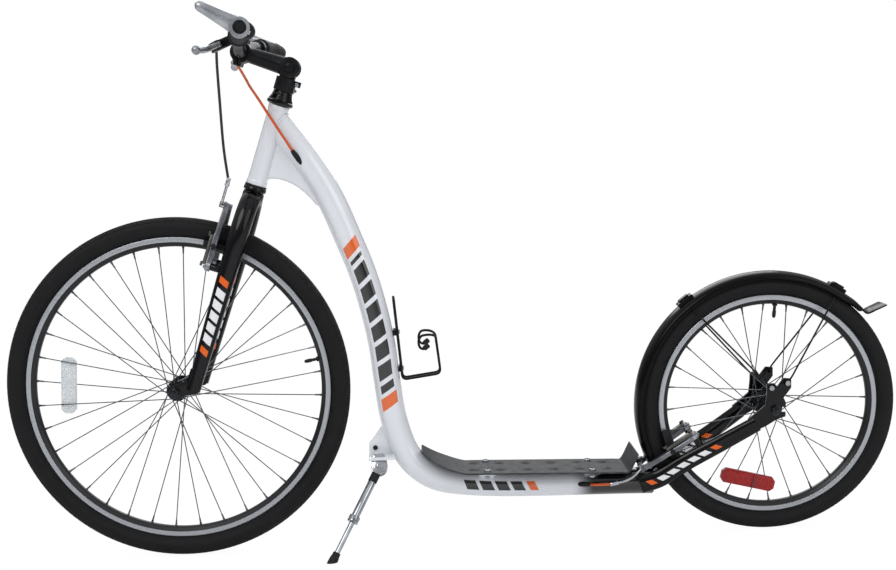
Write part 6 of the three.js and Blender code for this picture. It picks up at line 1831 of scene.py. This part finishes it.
def forge_levers():
    for side, name in ((-1, "left"), (1, "right")):
        place = on_lever(side)
        to_side = lambda points: [(-ahead, side * out) for ahead, out in points]
        outline = to_side(
            [
                (11, -6.5), (20, -6.8), (34, -9.4), (44, -10), (51, -8.5), (54, -5), (54, 10), (50, 16),
                (45, 20), (36, 20), (30, 12), (24, 7), (11, 6.5),
            ]
        )
        housing_body = slab("body", outline, -8, 8, 2.4, 4)
        notched(housing_body, "slot", (-72, side * 40, 0), (80, 93, 10.8))
        clamp_ring = [(11.4, -6.5), (15.2, -6.5), (16, -5.7), (16, 5.7), (15.2, 6.5), (11.4, 6.5)]
        clamp = applied(spun("clamp", clamp_ring, 40), ABOUT_Y)
        barrel = [
            (0, 0), (4.4, 0), (4.4, 2), (3.9, 2.4), (3.9, 5), (4.5, 5.4), (4.5, 14), (4.1, 14.6), (3.4, 15),
            (3.4, 20), (0, 20),
        ]
        adjuster = applied(spun("adjuster", barrel, 24), pointing((-44, side * -8, 0), (0, -side, 0)))
        pin = rod_between("pin", (-40, side * 12, -8.6), (-40, side * 12, 8.6), 3.4, 24, round_off=0.5)
        piece = together(f"lever_body_{name}", [housing_body, clamp, adjuster, pin])
        settled(piece, place, "black_alloy", "bars", f"brake_lever_body_{name}", angle=35, outward=True)
        inlay = slab(
            "inlay", to_side([(16, -2.6), (34, -3.4), (46, -3), (48, 3), (40, 9), (30, 3.6), (16, 2.6)]), 7.7,
            8.7, 0.4,
        )
        settled(inlay, place, "silver_alloy", "bars", outward=True).name = f"lever_inlay_{name}"
        screw = applied(socket_bolt("screw", 3.2, 2.6, 18), pointing((3, 0, 15.4), (0.2, 0, 1)))
        settled(screw, place, "chrome_plate", "bars", outward=True).name = f"lever_screw_{name}"
        shares = (
            (-0.05, -0.15, 0.9), (0, 0, 1.1), (0.45, 0.16, 1), (0.66, 0.35, 0.95), (0.78, 0.62, 0.9),
            (1, 1, 0.8),
        )
        middle = eased([(40 + 38 * a, 12 + 80 * b, 5.5 * w) for a, b, w in shares], 5)
        blade = slab("blade", [(-x, side * y) for x, y in strip([tuple(p) for p in middle])], -5, 5, 2.0, 4)
        rest()
        bpy.ops.mesh.primitive_uv_sphere_add(
            segments=28, ring_count=16, radius=7.8, location=(-78, side * 92, 0),
        )
        ball = applied(named("ball"), Matrix())
        root = rod_between("root", (-40, side * 12, -5), (-40, side * 12, 5), 7.5, 32, round_off=0.8)
        piece = together(f"lever_{name}", [blade, ball, root])
        settled(
            piece, place, "silver_alloy", f"{name}_lever", f"brake_lever_blade_{name}", angle=35,
            outward=True,
        )


# Stem and brakes


def dress_stem():
    for node in ("stem_clamp", "stem_arm", "stem_faceplate"):
        dressed(node, "black_alloy", 1.0, 3)
    dressed("stem_pivot_bolt", "black_alloy", 0.8)
    parts = []
    for y in (-14.5, 14.5):
        for z in (-1, 1):
            head = socket_bolt("head", 3.6, 3.6, 20)
            place = pointing((-STEM_LENGTH - 7, y, z * 21.6), (-1, 0, 0))
            parts.append(applied(head, place))
    settled(together("faceplate_screws", parts), BARS, "chrome_plate", "bars", outward=True)
    parts = []
    for z in (186, 198):
        head = socket_bolt("head", 3.4, 3.4, 20)
        parts.append(applied(head, pointing((21, -8, z - 1), (0, -1, 0))))
    settled(together("clamp_screws", parts), STEER, "chrome_plate", "steering", outward=True)


def dress_brakes():
    for name, place in (("front", FRONT_BRAKE), ("rear", REAR_BRAKE)):
        for side in ("left", "right"):
            dressed(f"{name}_brake_arm_{side}", "cast_arm", 0.9, 3)
            dressed(f"{name}_brake_pad_{side}", "grip_rubber", 0.7)
    sides = {("front", 1): "left", ("front", -1): "right", ("rear", 1): "right", ("rear", -1): "left"}
    for (name, side), word in sides.items():
        place = FRONT_BRAKE if name == "front" else REAR_BRAKE
        inward = [(side * y, z) for y, z in ((44, 1), (43, 20), (41, 38), (38, 57))]
        link = slab("link", strip([(y, z, 6.5) for y, z in inward]), 0, 6.5, 1.6, 3)
        applied(link, moved(9.6) @ basis(Vector((0, 1, 0)), Vector((0, 0, 1)), Vector((1, 0, 0))))
        pieces = [link]
        for y, z in (inward[0], inward[-1]):
            pieces.append(applied(socket_bolt("head", 4.6, 4.2, 20), pointing((15.8, y, z), (1, 0, 0))))
        settled(
            together(f"link_{name}_{word}", pieces), place, "cast_dark", f"{name}_arm_{word}",
            slot="silver_alloy", outward=True,
        )
        coil = [
            (1.5 + 0.55 * t, side * (44 + 9.4 * math.cos(t * 2.2)), 9.4 * math.sin(t * 2.2))
            for t in np.linspace(0, 9, 48)
        ]
        wire = [*coil, (7, side * 54, 8), (8, side * 52, 40), (8.2, side * 47.5, 62)]
        spring = tube(f"spring_{name}_{word}", eased(wire, 2), 0.7, 8, (1, 0, 0))
        settled(spring, place, "bright_steel", f"{name}_arm_{word}", angle=60)


def dress_reflectors():
    dressed("front_reflector", "clear_lens", 1.2, 3)
    dressed("rear_reflector", "red_lens", 1.2, 3)


# Sizes and colours that a user may change


class KickBikeSizes(bpy.types.PropertyGroup):
    spoke_gauge: bpy.props.FloatProperty(
        name="Spoke Gauge", description="Thickness of a spoke", default=0.002, min=0.0015, max=0.003,
        precision=4, unit="LENGTH",
    )


class KickBikeColours(bpy.types.PropertyGroup):
    frame_paint: bpy.props.FloatVectorProperty(
        name="Frame Paint", description="Colour of the frame's front", default=linear("#e2e5ea"),
        size=4, min=0, max=1, subtype="COLOR",
    )
    fork_paint: bpy.props.FloatVectorProperty(
        name="Fork Paint", description="Colour of the fork and the stays", default=linear("#08080a"),
        size=4, min=0, max=1, subtype="COLOR",
    )
    print_orange: bpy.props.FloatVectorProperty(
        name="Stripe Orange", description="Colour of the slanted stripes", default=linear("#e2631f"),
        size=4, min=0, max=1, subtype="COLOR",
    )
    cable_orange: bpy.props.FloatVectorProperty(
        name="Cable Orange", description="Colour of the rear brake's cable", default=linear("#d9581c"),
        size=4, min=0, max=1, subtype="COLOR",
    )


# Operators


class BuildStep(bpy.types.Operator):
    """One step of the build"""

    bl_options = {"REGISTER", "UNDO"}
    steps = ()

    def execute(self, context):
        for step in self.steps:
            step()
        return {"FINISHED"}


class KICKBIKE_OT_stage(BuildStep):
    """Set the camera, the lights and the floor"""

    bl_idname, bl_label, steps = "kickbike.stage", "Stage", (set_stage,)


class KICKBIKE_OT_finishes(BuildStep):
    """Mix the paints, metals, rubbers and plastics"""

    bl_idname, bl_label, steps = "kickbike.finishes", "Finishes", (mix_finishes,)


class KICKBIKE_OT_cables(BuildStep):
    """Run the brake cables and their noodles"""

    bl_idname, bl_label, steps = "kickbike.cables", "Cables", (run_cables, bend_noodles)


class KICKBIKE_OT_tyres(BuildStep):
    """Mould both tyres with their tread"""

    bl_idname, bl_label, steps = "kickbike.tyres", "Tyres", (mould_tyres,)


class KICKBIKE_OT_rims(BuildStep):
    """Roll both rims and fit their valves"""

    bl_idname, bl_label, steps = "kickbike.rims", "Rims", (roll_rims,)


class KICKBIKE_OT_spokes(BuildStep):
    """Lace the spokes to the hubs, and fit the axles"""

    bl_idname, bl_label, steps = "kickbike.spokes", "Spokes", (lace_wheels, turn_axles)


class KICKBIKE_OT_reflectors(BuildStep):
    """Finish the wheels' reflectors"""

    bl_idname, bl_label, steps = "kickbike.reflectors", "Reflectors", (dress_reflectors,)


class KICKBIKE_OT_frame(BuildStep):
    """Draw the main tube, its brackets and the head tube"""

    bl_idname, bl_label, steps = "kickbike.frame", "Frame", (draw_main_tube, weld_brackets, draw_head)


class KICKBIKE_OT_fork(BuildStep):
    """Forge the fork"""

    bl_idname, bl_label, steps = "kickbike.fork", "Fork", (forge_fork,)


class KICKBIKE_OT_stays(BuildStep):
    """Weld the chainstays and their rear ends"""

    bl_idname, bl_label, steps = "kickbike.stays", "Chainstays", (weld_stays,)


class KICKBIKE_OT_deck(BuildStep):
    """Press the deck and screw it down"""

    bl_idname, bl_label, steps = "kickbike.deck", "Deck", (press_deck,)


class KICKBIKE_OT_stand(BuildStep):
    """Hang the side stand"""

    bl_idname, bl_label, steps = "kickbike.stand", "Side Stand", (hang_stand,)


class KICKBIKE_OT_cage(BuildStep):
    """Bend the bottle cage"""

    bl_idname, bl_label, steps = "kickbike.cage", "Bottle Cage", (bend_cage,)


class KICKBIKE_OT_guard(BuildStep):
    """Mould the mudguard and bend its stays"""

    bl_idname, bl_label, steps = "kickbike.guard", "Mudguard", (mould_guard, bend_guard_stays)


class KICKBIKE_OT_bar(BuildStep):
    """Bend the handlebar and fit its grips and horns"""

    bl_idname, bl_label, steps = "kickbike.bar", "Handlebar", (bend_bar, mould_grips, forge_horns)


class KICKBIKE_OT_levers(BuildStep):
    """Forge the brake levers"""

    bl_idname, bl_label, steps = "kickbike.levers", "Brake Levers", (forge_levers,)


class KICKBIKE_OT_stem(BuildStep):
    """Finish the stem and fit its screws"""

    bl_idname, bl_label, steps = "kickbike.stem", "Stem", (dress_stem,)


class KICKBIKE_OT_brakes(BuildStep):
    """Finish the rim brakes and fit their springs"""

    bl_idname, bl_label, steps = "kickbike.brakes", "Rim Brakes", (dress_brakes,)


STEPS = (
    KICKBIKE_OT_stage, KICKBIKE_OT_finishes, KICKBIKE_OT_cables, KICKBIKE_OT_tyres, KICKBIKE_OT_rims,
    KICKBIKE_OT_spokes, KICKBIKE_OT_reflectors, KICKBIKE_OT_frame, KICKBIKE_OT_fork, KICKBIKE_OT_stays,
    KICKBIKE_OT_deck, KICKBIKE_OT_stand, KICKBIKE_OT_cage, KICKBIKE_OT_guard, KICKBIKE_OT_bar,
    KICKBIKE_OT_levers, KICKBIKE_OT_stem, KICKBIKE_OT_brakes,
)


class KICKBIKE_PT_sidebar(bpy.types.Panel):
    """Lists the steps of the build, with the sizes and colours that they use"""

    bl_idname = "KICKBIKE_PT_sidebar"
    bl_label = "Kick Bike"
    bl_space_type = "VIEW_3D"
    bl_region_type = "UI"
    bl_category = "Kick Bike"

    def draw(self, context):
        for values in (context.scene.kick_bike_sizes, context.scene.kick_bike_colours):
            for name in values.bl_rna.properties.keys():
                if name not in ("rna_type", "name"):
                    self.layout.prop(values, name)
        for step in STEPS:
            self.layout.operator(step.bl_idname)


CLASSES = (KickBikeSizes, KickBikeColours, *STEPS, KICKBIKE_PT_sidebar)


def register():
    for made in CLASSES:
        bpy.utils.register_class(made)
    bpy.types.Scene.kick_bike_sizes = bpy.props.PointerProperty(type=KickBikeSizes)
    bpy.types.Scene.kick_bike_colours = bpy.props.PointerProperty(type=KickBikeColours)


def unregister():
    del bpy.types.Scene.kick_bike_colours
    del bpy.types.Scene.kick_bike_sizes
    for made in reversed(CLASSES):
        bpy.utils.unregister_class(made)


def main():
    register()
    for step in STEPS:
        group, action = step.bl_idname.split(".")
        getattr(getattr(bpy.ops, group), action)()


if __name__ == "__main__":
    main()
